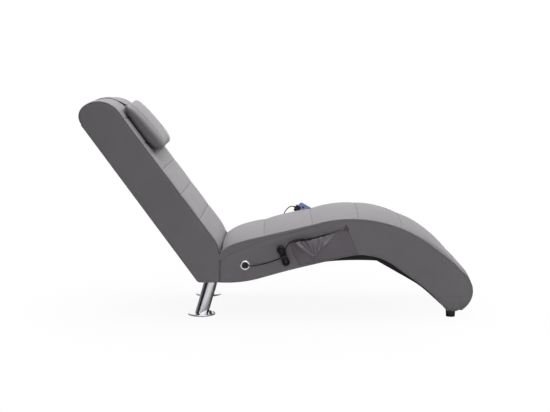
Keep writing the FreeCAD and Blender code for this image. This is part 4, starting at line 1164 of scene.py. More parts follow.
@dataclass
class SeatModule:
    """The seat: its pad, side covers, seams and the lining under it."""

    seams: tuple[float, ...] = (0.168, 0.355, 0.531, 0.698)
    joint_seam: float = -0.0060
    crowns: tuple[Spot, ...] = (
        (0.0, 0.0125), (0.35, 0.0140), (0.46, 0.0170), (0.54, 0.0215), (0.64, 0.0220), (0.72, 0.0195),
        (0.81, 0.0172), (0.86, 0.0145), (0.90, 0.0085), (0.95, 0.0010), (1.0, 0.0005))
    rises: tuple[Spot, ...] = (
        (0.36, 0.0), (0.45, 0.0025), (0.88, 0.0025), (0.942, -0.0008), (0.985, -0.0068), (1.035, -0.0020),
        (1.09, 0.0045), (1.15, 0.0055))
    belly_turn: Spot = (0.084, 0.1310)
    belly_bend: float = 0.450
    belly_join: float = 0.265
    heel_bend: float = 0.620
    thigh_sag: float = 0.0015
    shin_thin: float = 0.0032
    long_bend: float = 2.0
    lining_widths: tuple[Spot, ...] = ((0.54, 0.2472), (0.60, 0.2518))
    lining_half: float = 0.2485
    welt_y: float = 0.2475
    welt_radius: float = 0.0046
    welt_thin: float = 0.55
    gusset_y: float = 0.2496
    gusset_span: Spot = (0.385, 0.745)
    sag: float = 0.0030
    cloth: float = 0.001
    overlap: float = 0.002
    step: float = 0.010

    def __post_init__(self) -> None:
        """Work out where the shin ends and the foot's round begins."""
        self.shin_end = sum(run.length for run in SEAT.runs[:3])
        wrap = (math.pi / 2 - VIEW.shin + VIEW.foot_wrap) * VIEW.foot_round
        self.end = self.shin_end + wrap

    def build(self) -> None:
        """Make every piece of the seat."""
        pad = Cushion("seat_cushion", SEAT, 1.0, self.end, list(self.seams), self.crowns, self.rises,
                      roll=0.0032, hem=0.006, soft_hem=0.040, soft_length=0.16, puff=0.0015, depth=0.045,
                      end_depth=0.012, fade=(0.70, 0.92), thin_from=self.shin_end, lip=0.026,
                      lip_length=0.115, start=self.joint_seam)
        upholster(pad, "seat", self.outline(pad), Uneven((7.0, 3.0), (23.0, 8.0)))
        self.lining()
        self.joint_filler()
        self.grommets()

    def under_line(self) -> Track:
        """Lower edge of the side, from the joint to the foot end's flat."""
        thigh = VIEW.under(VIEW.at(0, VIEW.seat_height), VIEW.thigh, VIEW.slab + self.thigh_sag)
        shin = VIEW.under(VIEW.knee_top, -VIEW.shin, VIEW.slab - self.shin_thin)
        heel = VIEW.at(VIEW.heel_reach, VIEW.foot_flat)
        ahead = VIEW.joint + self.belly_join - thigh.x
        join = VIEW.at(self.belly_join, thigh.y + math.tan(VIEW.thigh) * ahead)
        return Track([(VIEW.at(self.joint_seam, VIEW.cover_foot), 0),
                      (VIEW.at(*self.belly_turn), self.belly_bend), (join, self.long_bend),
                      (crossing(thigh, VIEW.thigh, shin, -VIEW.shin), VIEW.knee_under),
                      (crossing(shin, -VIEW.shin, heel, -VIEW.heel_angle), self.heel_bend), (heel, 0)])

    def outline(self, pad: Cushion) -> list[Vector]:
        """Outline of a side cover under the pad's drawn-down edge."""
        lower = self.under_line().points(self.step)
        count = round(self.end / self.step)
        upper = [pad.sewn_at(self.end * i / count) for i in range(count + 1)]
        upper = [p for p in upper if p.y > VIEW.foot_flat + 0.0005]
        upper.insert(0, Vector((VIEW.joint + self.joint_seam, upper[0].y - 0.002)))
        upper = upper[:1] + [p for p in upper[1:] if p.x > upper[0].x + 0.003]
        toe = Vector((upper[-1].x - 0.012, VIEW.foot_flat))
        return lower + [toe] + list(reversed(upper))

    def lining(self) -> None:
        """Black lining stretched under the seat, across the hollow of the knee and down the shin."""
        corners = ((0.016, 0.1332, 0), (0.084, 0.1330, self.belly_bend), (0.265, 0.1812, self.long_bend),
                   (0.392, 0.2122, 0.300), (0.500, 0.2230, 1.2), (0.597, 0.2166, 0.014),
                   (0.752, 0.1250, 0.500), (0.8588, 0.0272, 0))
        path = Track([(VIEW.at(x, z), radius) for x, z, radius in corners])
        count = round(path.length / self.step)
        outer, inner = [], []
        for i in range(count + 1):
            point, heading = path.place(path.length * i / count)
            down = Vector((heading.y, -heading.x))
            width = eased(self.lining_widths, point.x - VIEW.joint)
            across = [k / 10 - 1 for k in range(21)]
            row = [(point + down * self.sag * (1 - t ** 2), width * t) for t in across]
            outer.append([stood(p, y) for p, y in row])
            inner.append([p - Vector((down.x, 0.0, down.y)) * self.cloth for p in outer[-1]])
        cloth = shell("seat_lining", outer, inner)
        add_piece(cloth, DUST, ROOT, "dust_cover")
        edges = [[row[k] + Vector((0.0, 0.0, -0.0003)) for row in outer[1:-1]] for k in (1, -2)]
        staples = StitchTree.lay("lining_staples", edges, BLACK, pitch=0.034, length=0.010, radius=0.0005)
        path.length
        shin = Track([(VIEW.at(0.590, 0.2215), 0), (VIEW.at(0.752, 0.1275), 0.500),
                      (VIEW.at(0.841, 0.0540), 0)])
        for side in Side:
            line = [stood(p, side.value * self.welt_y) for p in shin.points(0.012)]
            welt = tube("lining_welt_" + side.word, line, self.welt_radius, thin_to=self.welt_thin)
            add_piece(welt, DUST, ROOT)
            self.gusset(side, path)

    def gusset(self, side: Side, path: Track) -> None:
        """Black cloth that shuts the side of the hollow between the lining and the side panel.

        Args:
            side: which side.
            path: the lining's line in the side view.
        """
        edge = self.under_line().points(0.004)
        first, last = self.gusset_span
        low = [p for p in path.points(self.step) if first < p.x - VIEW.joint < last]
        high = [max(min(edge, key=lambda e, p=p: abs(e.x - p.x)).y, p.y) + self.overlap for p in low]
        y = side.value * self.gusset_y
        outer = [[Vector((p.x, y, p.y + (z - p.y) * k / 3)) for k in range(4)] for p, z in zip(low, high)]
        shift = Vector((0.0, -side.value * self.cloth, 0.0))
        add_piece(sheet("lining_gusset_" + side.word, outer, shift), DUST, ROOT)

    @staticmethod
    def joint_filler() -> None:
        """Leathercloth strip that closes the crease between back and seat."""
        spots = ((-0.034, 0.2200), (0.010, 0.2200), (0.010, 0.2420), (-0.0030, 0.2420), (-0.0170, 0.2530),
                 (-0.034, 0.2460))
        widths = (-0.2536, -0.2526, -0.125, 0.0, 0.125, 0.2526, 0.2536)
        places = [VIEW.at(*spot) for spot in spots]
        rings = [[stood(p, y) for p in places] for y in widths]
        add_piece(rings_object("joint_filler", rings, smooth=False), LEATHER, ROOT)

    @staticmethod
    def grommets() -> None:
        """Bright rings where the leads leave the side covers, each closed by a black disc of painted shade
        for its dark hole.
        """
        spot = VIEW.at(*VIEW.grommet)
        middles = [(stood(spot, side.value * VIEW.half), Vector((0.0, side.value, 0.0))) for side in Side]
        ring = [(0.0118, -0.004), (0.0118, 0.0018), (0.0124, 0.0030), (0.0138, 0.0038), (0.0156, 0.0038),
                (0.0172, 0.0030), (0.0183, 0.0016), (0.0186, 0.0), (0.0186, -0.001), (0.0150, -0.004)]
        add_piece(lathe("grommet_rings", middles, ring), CHROME, ROOT, "grommets")
        # black disc in each ring: painted shade of the hole behind the grommet
        shade_disc = [(0.0, 0.0008), (0.0100, 0.0008), (0.0121, 0.0012), (0.0121, -0.0020), (0.0, -0.0020)]
        add_piece(lathe("grommet_shade_discs", middles, shade_disc), BLACK, ROOT)


@dataclass
class BackModule:
    """The back: its pad, side covers, rear cover and seams."""

    seam_first: float = 0.124
    seam_pitch: float = 0.117
    seam_count: int = 5
    rear_lap: float = 0.010
    rear_low: float = 0.003
    rear_half: float = 0.2534
    rear_rows: int = 65
    rear_columns: int = 44
    rear_edge: float = 0.004
    rear_soft: float = 0.010
    rear_sink: float = 0.0028
    rear_proud: float = 0.0006
    rear_inner: float = 0.0034
    rear_corner: float = 0.012
    crease: tuple[Spot, ...] = ((-0.0062, 0.2330), (-0.0058, 0.2450), (-0.0068, 0.2570), (-0.0098, 0.2690),
                                (-0.0150, 0.2830))

    def __post_init__(self) -> None:
        """Work out where the front ends and the nose begins."""
        self.front = BACK.runs[0].length
        self.end = self.front + BACK.runs[1].length + BACK.runs[2].length + self.rear_lap
        self.seams = [self.seam_first + self.seam_pitch * i for i in range(self.seam_count)]

    def build(self) -> BVHTree:
        """Make every piece of the back.

        Returns:
            The pad's surface, for what lies on it.
        """
        pad = Cushion("back_cushion", BACK, -1.0, self.end, self.seams, ((0.0, 0.0025), (self.front, 0.0020)),
                      ((self.front - 0.05, -0.0040), (self.front + 0.10, 0.0)), roll=0.0025, hem=0.0012,
                      soft_hem=0.0035, soft_length=0.20, puff=0.0006, depth=0.045, end_depth=0.012,
                      fade=(self.front - 0.05, self.front + 0.12), thin_from=self.front + BACK.runs[1].length,
                      lip=0.012, lip_length=0.065, start=-0.022, cap=0.0010)
        cushion = upholster(pad, "back", self.outline(pad), Uneven((6.0, 13.0), (21.0, 5.0)))
        self.rear_cover()
        bpy.context.view_layer.update()
        return BVHTree.FromObject(cushion, bpy.context.evaluated_depsgraph_get())

    def rear_cover(self) -> None:
        """Flat cover stretched over the rear of the back."""
        low, width = self.rear_low, self.rear_half
        high = VIEW.back_length - VIEW.nose_rear - self.rear_lap + 0.006
        uneven = Uneven((6.0, 2.0), (19.0, 7.0), 0.0006)
        outer, inner = [], []
        for i in range(self.rear_rows + 1):
            u = low + (high - low) * i / self.rear_rows
            rows: tuple[list[Vector], list[Vector]] = ([], [])
            for k in range(self.rear_columns + 1):
                y = width * (2 * k / self.rear_columns - 1)
                edge = min(width - abs(y), u - low + self.rear_edge, high - u + self.rear_edge)
                fall = max(0.0, 1 - edge / self.rear_soft)
                bump = self.rear_at(u) + uneven.at(Vector((u, y, 0.0)))
                face = -self.rear_proud + self.rear_sink * fall * fall + bump
                for row, v in zip(rows, (face, self.rear_inner)):
                    row.append(stood(VIEW.back_at(u, v), y))
            outer.append(rows[0])
            inner.append(rows[1])
        add_piece(shell("rear_cover", outer, inner), LEATHER, ROOT, "back_rear_cover")

    def outline(self, pad: Cushion) -> list[Vector]:
        """Outline of a side cover under the pad's edge."""
        count = round(self.end / 0.010)
        upper = [pad.sewn_at(self.end * i / count) for i in range(3, count)]
        crease = [VIEW.at(*spot) for spot in self.crease]
        top = VIEW.back_length - VIEW.nose_rear - 0.004
        rear, foot = VIEW.back_at(top, self.rear_at(top)), VIEW.back_at(0, self.rear_at(0))
        slope = math.atan2(rear.y - foot.y, rear.x - foot.x)
        corner = crossing(rear, slope, VIEW.at(0, VIEW.cover_foot), 0)
        lower = Track([(rear, 0), (corner, self.rear_corner), (Vector((crease[0].x, VIEW.cover_foot)), 0),
                       (crease[0], 0)]).points(0.010)
        return crease + upper + lower[:-1]

    @staticmethod
    def rear_at(u: float) -> float:
        """How far the rear cover lies forward of the frame's rear line: fuller towards the foot."""
        return -0.0064 + 0.0074 * u


@dataclass
class HeadPillow:
    """The head pillow and the strap that carries it over the top of the back."""

    low: float = 0.493
    high: float = 0.707
    half: float = 0.189
    bed: float = 0.1500
    thick_low: float = 0.053
    thick_high: float = 0.0375
    end_round: float = 0.031
    end_inset: float = 0.0215
    skew: float = 0.0050
    strap_half: float = 0.045
    strap_thick: float = 0.0026
    strap_tail: float = 0.130
    strap_lead: float = 0.050

    def build(self, cover: BVHTree) -> None:
        """Make the pillow and its strap.

        Args:
            cover: the surface of the back's pad.
        """
        pillow = self.pillow()
        add_piece(pillow, LEATHER, "pillow", "pillow")
        rows = [self.ring(y, 0.0011) for y in (-self.half + self.end_round, self.half - self.end_round)]
        StitchTree.lay("pillow_stitches", [row + row[:1] for row in rows], THREAD, "pillow")
        self.strap(cover)

    def ring(self, y: float, lift: float = 0.0, count: int = 56) -> list[Vector]:
        """Section of the pillow at one Y, as points round it."""
        inside = max(0.0, abs(y) - (self.half - self.end_round)) / self.end_round
        inset = self.end_inset * (1 - math.sqrt(max(0.0, 1 - inside * inside))) - lift
        middle = (self.low + self.high) / 2
        points = []
        for k in range(count):
            angle = 2 * math.pi * k / count
            c, s = math.cos(angle), math.sin(angle)
            u = middle + math.copysign(abs(c) ** 0.62, c) * ((self.high - self.low) / 2 - inset)
            share = (u - self.low) / (self.high - self.low)
            thick = self.thick_low + (self.thick_high - self.thick_low) * share
            thick *= 1.05 - 0.08 * y / self.half
            top = self.bed + thick + 0.002 * (1 - (y / self.half) ** 2) - inset
            bottom = self.bed + inset * 0.75 - 0.0016 * (y / self.half) ** 2
            v = (top + bottom) / 2 + math.copysign(abs(s) ** 0.72, s) * (top - bottom) / 2
            points.append(stood(VIEW.back_at(u + self.skew * y / self.half, v), y))
        return points

    def pillow(self) -> Piece:
        """Closed cushion with full rounded ends, swelled by simulation."""
        flat = self.half - self.end_round
        ends = [flat + self.end_round * math.sin(math.radians(a)) for a in (0, 15, 30, 45, 58, 70, 80, 87)]
        inner = [flat * (k / 11) for k in range(-10, 11)]
        stations = [-y for y in reversed(ends)] + inner + ends
        rings = [self.ring(y, -0.0005 if abs(abs(y) - flat) < 1e-9 else 0.0) for y in stations]
        size = len(rings[0])
        piece = rings_object("head_pillow", rings)
        held = [r * size + k for r, y in enumerate(stations) for k in range(size)
                if k > size // 2 or abs(abs(y) - flat) < 1e-9 or r in (0, len(stations) - 1)]
        simulate(piece, held, 0.004)
        refine(piece)
        return piece

    def strap(self, cover: BVHTree) -> None:
        """Wide strap from the pillow over the nose and down the rear."""
        front = BACK.runs[0].length
        start = front - (VIEW.back_length - VIEW.nose_front - self.high) - 0.004
        end = sum(run.length for run in BACK.runs[:3]) + self.strap_tail
        count = round((end - start) / 0.004)
        lines = [self.strap_half * (k / 8 - 1) for k in range(17)]
        away = 0.060
        places, heights = [], []
        for i in range(count + 1):
            s = start + (end - start) * i / count
            point, heading = BACK.place(s)
            out = Vector((heading.y, 0.0, -heading.x))
            seen = [cover_height(cover, stood(point, y) + out * away, -out) for y in lines]
            heights.append(max((away - d for d in seen if d < 0.5), default=0.0) + 0.0005)
            places.append((s, point, out))
        first = self.bed - VIEW.slab + self.thick_high * 0.18
        outer, inner = [], []
        for i, (s, point, out) in enumerate(places):
            near = heights[max(0, i - 3):i + 4]
            lift = sum(near) / len(near)
            lead = unit((s - start) / self.strap_lead)
            lift = max(lift, first * (1 - lead) ** 1.5 + lift * (1 - (1 - lead) ** 1.5))
            rows: tuple[list[Vector], list[Vector]] = ([], [])
            for y in lines:
                edge = max(0.0, 1 - (self.strap_half - abs(y)) / 0.004)
                for row, h in zip(rows, (lift + self.strap_thick - 0.0008 * edge * edge, lift)):
                    row.append(stood(point, y) + out * h)
            outer.append(rows[0])
            inner.append(rows[1])
        strap = add_piece(shell("pillow_strap_band", outer, inner), LEATHER, None, "pillow_strap")
        begin, finish = VIEW.back_at(0.726, 0.165), VIEW.back_at(0.7075, 0.165)
        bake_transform(strap)


@dataclass(frozen=True)
class Fold:
    """A soft ridge in cloth between two places of the side view."""

    start: Spot
    end: Spot
    height: float
    width: float

    def lift(self, x: float, z: float) -> float:
        """Height of the ridge at a place."""
        ax, az = self.start
        dx, dz = self.end[0] - ax, self.end[1] - az
        t = unit(((x - ax) * dx + (z - az) * dz) / (dx * dx + dz * dz))
        far = math.hypot(x - ax - t * dx, z - az - t * dz)
        return self.height * math.exp(-(far / self.width) ** 2)


NEAR_FOLDS = (
    Fold((0.285, 0.284), (0.349, 0.236), 0.0058, 0.0066),
    Fold((0.349, 0.236), (0.426, 0.312), 0.0052, 0.0060),
    Fold((0.308, 0.290), (0.338, 0.256), 0.0040, 0.0034),
    Fold((0.327, 0.294), (0.347, 0.254), 0.0042, 0.0030),
    Fold((0.350, 0.297), (0.355, 0.253), 0.0046, 0.0034),
    Fold((0.374, 0.303), (0.366, 0.258), 0.0042, 0.0034),
    Fold((0.398, 0.311), (0.382, 0.270), 0.0040, 0.0036))
FAR_FOLDS = (
    Fold((0.300, 0.285), (0.340, 0.240), 0.0016, 0.0080),
    Fold((0.455, 0.320), (0.420, 0.255), 0.0016, 0.0080))


@dataclass
class Pocket:
    """A gathered pocket sewn on along three edges, X from the joint."""

    side: Side
    depth: float
    mouth_share: float
    slack: tuple[float, float, float, float]
    folds: tuple[Fold, ...]
    vee: tuple[float, float, float, float] | None = None
    corners: tuple[Spot, Spot, Spot, Spot] = ((0.256, 0.288), (0.474, 0.344), (0.522, 0.240), (0.296, 0.200))
    droop: float = 0.011
    proud: float = 0.0016
    pucker: float = 0.0007
    pucker_count: int = 24
    thick: float = 0.0013
    across: int = 88
    down: int = 44

    def share(self, a: float) -> float:
        """How far the cloth stands off along the mouth, from 0 to 1."""
        low, full, hold, shut = self.slack
        return smooth(min((a - low) / (full - low), (shut - a) / (shut - hold)))

    def place(self, a: float, b: float) -> Vector:
        """Point of the cloth: a along the mouth, b down from it."""
        (ax, az), (bx, bz), (cx, cz), (dx, dz) = self.corners
        x = (ax + (bx - ax) * a) * (1 - b) + (dx + (cx - dx) * a) * b
        z = (az + (bz - az) * a) * (1 - b) + (dz + (cz - dz) * a) * b
        z -= self.droop * math.sin(math.pi * a) * (1 - b) ** 2
        stand = self.share(a) * (self.swag(a, b) if self.vee else self.bag(b))
        gather = sum(fold.lift(x, z) for fold in self.folds) * (0.25 + 0.75 * self.share(a)) * (1 - b ** 4)
        puckers = self.pucker * math.sin(2 * math.pi * a * self.pucker_count) * (1 - b) ** 6
        off = VIEW.half + self.proud + self.depth * stand + gather + puckers
        return Vector((VIEW.joint + x, self.side.value * off, z))

    def bag(self, b: float) -> float:
        """How far an open pocket stands off down from its mouth, from 0 to 1."""
        stand = self.mouth_share + (1 - self.mouth_share) * min(1.0, b / 0.42) ** 0.8
        return stand * (1 - max(0.0, (b - 0.30) / 0.70) ** 2.0)

    def swag(self, a: float, b: float) -> float:
        """How far a drawn-in pocket stands off: out from the mouth to a fold like a V, then in again."""
        low, tip, high, deep = self.vee
        fold = max(0.0, deep * ((a - low) / (tip - low) if a < tip else (high - a) / (high - tip)))
        held = self.mouth_share + (0.84 - self.mouth_share) * math.exp(-((a - 0.335) / 0.085) ** 2)
        held = 1 - (1 - held) * min(1.0, fold / 0.30)
        if b < fold:
            return held + (1 - held) * (b / fold) ** 0.9
        return ((1 - b) / (1 - fold)) ** 0.75

    def build(self) -> None:
        """Make the cloth, its elastic hem, a black sheet of painted shade behind the mouth and the seams."""
        word = self.side.word
        outer = [[self.place(i / self.across, j / self.down) for i in range(self.across + 1)]
                 for j in range(self.down + 1)]
        back = Vector((0.0, self.side.value * self.thick, 0.0))
        cloth = add_piece(sheet("pocket_cloth_" + word, outer, -back), POCKET, ROOT, "pocket_" + word)
        mouth = [p - back * 0.5 + Vector((0.0, 0.0, 0.0006 * math.sin(i * 0.9)))
                 for i, p in enumerate(outer[0])]
        drawn = round(self.across * self.vee[2]) if self.vee else self.across
        # hem dark partly as elastic and partly as painted shade along the pocket's open mouth
        hem = add_piece(tube("pocket_hem_" + word, mouth[:drawn + 1], 0.0015), ELASTIC_AND_SHADE, ROOT)
        rows = ([row[1] for row in outer[1:]], [row[-2] for row in outer[1:]], outer[-2][1:-1])
        seams = StitchTree.lay("pocket_stitches_" + word,
                               [[p + back * 0.4 for p in row] for row in rows], POCKET)
        tag = self.tag([p + back + Vector((0.0, 0.0, 0.0022 * math.sin(1.3 * i)))
                        for i, p in enumerate(outer[0][drawn:-4])])
        area = sum(((outer[j][i + 1] - outer[j][i]).cross(outer[j + 1][i] - outer[j][i])).length
                   for j in range(self.down) for i in range(self.across))
        width = sum((p - q).length for p, q in zip(outer[0], outer[0][1:]))
        # black sheet of painted shade behind the mouth
        self.inside(outer[0])

    def tag(self, along: list[Vector]) -> Piece:
        """Thick stitches that tack the mouth's upper corner down.

        Args:
            along: points of the sewn-down stretch of the mouth.

        Returns:
            The stitches.
        """
        x, z = self.corners[1]
        y = self.side.value * (VIEW.half + 0.0026)
        spots = [[(-0.008, -0.010), (-0.001, 0.010), (0.007, -0.008)], [(-0.006, -0.004), (0.006, -0.003)],
                 [(-0.012, -0.012), (0.010, -0.010)]]
        lines = [[Vector((VIEW.joint + x + dx, y, z + dz)) for dx, dz in row] for row in spots]
        lines += [along[i:i + 3] for i in range(0, len(along) - 3, 4)]
        return StitchTree.lay("pocket_tack_" + self.side.word, lines, ELASTIC_AND_SHADE, pitch=0.0032, length=0.0034,
                              radius=0.0008)

    def inside(self, mouth: Sequence[Vector]) -> None:
        """Black sheet behind the mouth: painted shade that stands in for the shadow inside the pocket's
        opening.
        """
        lines = mouth[4:int(self.across * 0.80)]
        count = len(lines)
        y = self.side.value * (VIEW.half + 0.0012)
        tapers = [min(1.0, k / 10, (count - 1 - k) / 14) for k in range(count)]
        outer = [[Vector((p.x, y, p.z + level * taper)) for p, taper in zip(lines, tapers)]
                 for level in (0.0042, 0.002, -0.010, -0.022)]
        shift = Vector((0.0, -self.side.value * 0.0006, 0.0))
        # black sheet that shows above the hem: painted shade of the pocket's opening, in the lining's black
        # finish
        add_piece(sheet("pocket_inside_" + self.side.word, outer, shift), DUST, ROOT)


@dataclass
class Lead:
    """A lead from its grommet through a tied hank to its far end."""

    side: Side
    radius: float = 0.002
    middle: Spot = (0.237, 0.238)
    lean: float = math.radians(22.6)
    waist: float = 0.009
    lobe: float = 0.013
    reach: float = 0.026
    pitch: float = 0.0052
    layer: float = 0.005
    turns: float = 6.875
    first: float = 0.125
    climbs: int = 3
    tail: float = 0.006
    entry_run: float = 0.016
    entry_drop: float = 0.00175
    entry_rise: float = 0.2
    exit_turn: float = math.radians(12.0)
    exit_spread: float = 0.0006
    exit_run: float = 0.010
    level: float = 0.2633

    def __post_init__(self) -> None:
        """Directions along and across the hank."""
        self.axis = Vector((-math.sin(self.lean), 0.0, math.cos(self.lean)))
        self.across = Vector((math.cos(self.lean), 0.0, math.sin(self.lean)))

    def at(self, x: float, z: float, y: float) -> Vector:
        """Point beside the seat on the far side, X from the joint."""
        return Vector((VIEW.joint + x, y, z))

    def state(self, turn: float) -> tuple[float, float]:
        """How far a loop lies inside the outer one, and its layer."""
        each = (self.turns - 0.5 * self.climbs) / (self.climbs + 1)
        layer = 0
        while turn > each + 0.5 and layer < self.climbs:
            turn -= each + 0.5
            layer += 1
        inward = self.pitch * min(turn, each)
        if layer % 2:
            inward = self.pitch * each - inward
        return inward, layer + smooth((turn - each) / 0.5)

    def corner(self, step: int) -> tuple[Vector, Vector]:
        """Place and heading on the winding at a number of eighths of a turn."""
        inward, level = self.state(step / 8 - self.first)
        ahead = self.state(min(step / 8 + 0.0625, self.turns + self.first) - self.first)[1]
        behind = self.state(max(step / 8 - 0.0625, self.first) - self.first)[1]
        waist, lobe, reach = self.waist - inward, self.lobe - inward, self.reach
        p, q, dp, dq = ((0, waist, 1, 0), (reach, lobe, 1, 0), (reach + lobe, 0, 0, -1),
                        (reach, -lobe, -1, 0), (0, -waist, -1, 0), (-reach, -lobe, -1, 0),
                        (-reach - lobe, 0, 0, 1), (-reach, lobe, 1, 0))[step % 8]
        rise = (ahead - behind) * self.layer / (math.pi * self.lobe / 2)
        place = self.at(*self.middle, self.level + level * self.layer) + self.axis * p + self.across * q
        return place, (self.axis * dp + self.across * dq + Vector((0.0, rise, 0.0))).normalized()

    def winding(self) -> tuple[Vector, list[Vector], Vector, Vector]:
        """Control points of the hank between its two straight ends.

        Returns:
            The entry point, the points of the turns, the exit point and the exit's heading.
        """
        start = round(8 * self.first)
        nodes = [self.corner(step) for step in range(start, start + round(8 * self.turns) + 1)]
        place, heading = nodes[0]
        nodes[0] = (place - Vector((0.0, self.entry_drop, 0.0)),
                    (heading + Vector((0.0, self.entry_rise, 0.0))).normalized())
        place = nodes[-1][0] + self.across * self.exit_spread
        nodes[-1] = (place, self.axis * math.cos(self.exit_turn) + self.across * math.sin(self.exit_turn))
        corners: list[Vector] = []
        for (p, t), (q, s) in zip(nodes, nodes[1:]):
            w = q - p
            a, b, c = 2 * (1 - t.dot(s)), 2 * w.dot(t + s), -w.dot(w)
            leg = -c / b if abs(a) < 1e-9 else (-b + math.sqrt(b * b - 4 * a * c)) / (2 * a)
            corners += [p + t * leg, q - s * leg]
        return (nodes[0][0] - nodes[0][1] * self.tail, corners, nodes[-1][0] + nodes[-1][1] * self.tail,
                nodes[-1][1])

    def route(self, tail: Callable[[float], list[Vector]]) -> list[Vector]:
        """All control points of the lead on its own side.

        Args:
            tail: gives the points after the hank from the Y of the hank's end.

        Returns:
            The points in order from the grommet.
        """
        begin, corners, end, heading = self.winding()
        lead_y = VIEW.half + 0.0024
        gx, gz = VIEW.grommet
        offsets = ((0.0, 0.0, VIEW.half - 0.005), (0.0, 0.0, VIEW.half + 0.009),
                   (0.006, 0.0005, VIEW.half + 0.018), (0.018, 0.0008, VIEW.half + 0.019),
                   (0.036, 0.0004, VIEW.half + 0.012),
                   (0.062, 0.004, lead_y + 0.0004), (0.089, 0.011, lead_y), (0.115, 0.020, lead_y),
                   (0.129, 0.025, lead_y), (0.144, 0.0335, lead_y))
        first = (corners[0] - begin).normalized()
        points = [self.at(gx + x, gz + z, y) for x, z, y in offsets]
        points += [begin - first * self.entry_run, begin, *corners, end, end + heading * self.exit_run]
        points += tail(end.y)
        return [Vector((p.x, p.y * self.side.value, p.z)) for p in points]

    def curve(self, name: str, points: Sequence[Vector], bevel: float) -> Piece:
        """Smooth curve on the route's points.

        Args:
            name: the curve's name.
            points: its control points.
            bevel: its radius, or 0 for a bare line.

        Returns:
            The curve object.
        """
        data = bpy.data.curves.new(name, "CURVE")
        data.dimensions = "3D"
        spline = data.splines.new("NURBS")
        spline.points.add(len(points) - 1)
        for control, point in zip(spline.points, points):
            control.co = (*point, 1.0)
        spline.order_u = 3
        spline.use_endpoint_u = True
        data.resolution_u = 6
        data.bevel_depth = bevel
        data.bevel_resolution = 3
        data.use_fill_caps = True
        return add_object(name, data)


class Leads:
    """The supply lead on the near side and the handset's lead on the far side."""

    def build(self) -> None:
        """Make both leads."""
        near = Lead(Side.NEAR)
        plug_y = VIEW.half + 0.0135

        def to_plug(y: float) -> list[Vector]:
            """Points from the hank over the pocket's edge to the plug."""
            spots = ((0.245, 0.266, y), (0.255, 0.284, y - 0.0035), (0.273, 0.297, y - 0.006),
                     (0.297, 0.303, plug_y + 0.0005), (0.318, 0.301, plug_y), (0.329, 0.291, plug_y),
                     (0.329, 0.278, plug_y))
            return [near.at(*spot) for spot in spots]

        route = near.route(to_plug)
        cord = near.curve("supply_lead", route, near.radius)
        add_piece(cord, CORD, ROOT, "power_lead_start", "power_lead_hank", "power_lead_end")
        tuple(route[0])
        far = Lead(Side.FAR)
        turn = math.radians(30.0)
        root = Vector((VIEW.joint + 0.296, VIEW.half + 0.0135, 0.3622))
        back = Vector((-math.cos(turn), 0.0, math.sin(turn)))
        out, ahead = far.at(0.2885, 0.3592, root.y), far.at(0.2720, 0.3655, root.y)

        def to_handset(y: float) -> list[Vector]:
            """Points from the hank up to the handset's strain relief."""
            spots = ((0.245, 0.266, y), (0.249, 0.283, y - 0.0025), (0.248, 0.305, y - 0.005),
                     (0.2365, 0.326, y - 0.0085), (0.2430, 0.344, out.y - 0.001),
                     (0.2595, 0.3600, out.y + 0.0003))
            return [far.at(*spot) for spot in spots] + [ahead, out]

        self.handset_details(root, back, (ahead - out).normalized(), out)
        route = far.route(to_handset)
        line = far.curve("handset_lead_line", route, 0.0)
        path = self.walked(line)
        cord = tube("handset_lead", path, far.radius)
        add_piece(cord, CORD, None, "handset_lead_start", "handset_lead_hank", "handset_lead_end")
        tuple(ahead)
        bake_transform(cord)
        tuple(route[0])
        [tuple(p) for p in path]

    @staticmethod
    def handset_details(root: Vector, back: Vector, leave: Vector, out: Vector) -> None:
        """Black cable block with its boot at the handset's cable end, and a small lamp on its face.

        Args:
            root: middle of the cable end.
            back: direction out of that end.
            leave: direction in which the lead leaves.
            out: end of the lead in the block.
        """
        up = Vector((back.z, 0.0, -back.x))
        levels = ((-0.0112, 0.0), (-0.0094, 0.0018), (0.0094, 0.0018), (0.0112, 0.0))
        corners = [Vector(spot) for spot in ((-0.0130, -0.0215), (0.0070, -0.0195), (0.0074, -0.0060),
                                             (0.0066, 0.0040), (-0.0010, 0.0056), (-0.0130, 0.0040))]
        middle = Vector((-0.003, -0.0085))
        rings = []
        for y, swell in levels:
            spots = [spot + (spot - middle).normalized() * swell for spot in corners]
            rings.append([root + back * spot.x + up * spot.y + Vector((0.0, y, 0.0)) for spot in spots])
        block = rings_object("handset_block", rings, smooth=False)
        add_piece(block, BLACK, "handset", "handset_relief")
        ribs = [(0.0, -0.002), (0.0046, -0.002), (0.0046, 0.0026)]
        for k in range(3):
            at, wide = 0.0034 + 0.0024 * k, 0.0043 - 0.0005 * k
            ribs += [(wide, at), (wide, at + 0.0010), (wide - 0.0006, at + 0.0013),
                     (wide - 0.0006, at + 0.0020)]
        ribs += [(0.0026, 0.0112), (0.0, 0.0112)]
        add_piece(lathe("handset_boot", [(out, leave)], ribs, 28), CORD, "handset")
        spot = root - back * 0.0205 + up * 0.0100 + Vector((0.0, -0.0100, 0.0))
        lens = [(0.0, 0.0022), (0.0018, 0.0020), (0.0032, 0.0012), (0.0040, 0.0), (0.0040, -0.001),
                (0.0, -0.001)]
        add_piece(lathe("handset_lamp", [(spot, Vector((0.0, -1.0, 0.0)))], lens, 24), KEYS, "handset")

    @staticmethod
    def walked(line: Piece) -> list[Vector]:
        """Points along a bare curve, which is then removed."""
        bpy.context.view_layer.update()
        graph = bpy.context.evaluated_depsgraph_get()
        mesh = bpy.data.meshes.new_from_object(line.evaluated_get(graph))
        points = [v.co.copy() for v in mesh.vertices]
        bpy.data.meshes.remove(mesh)
        bpy.data.objects.remove(line)
        return points


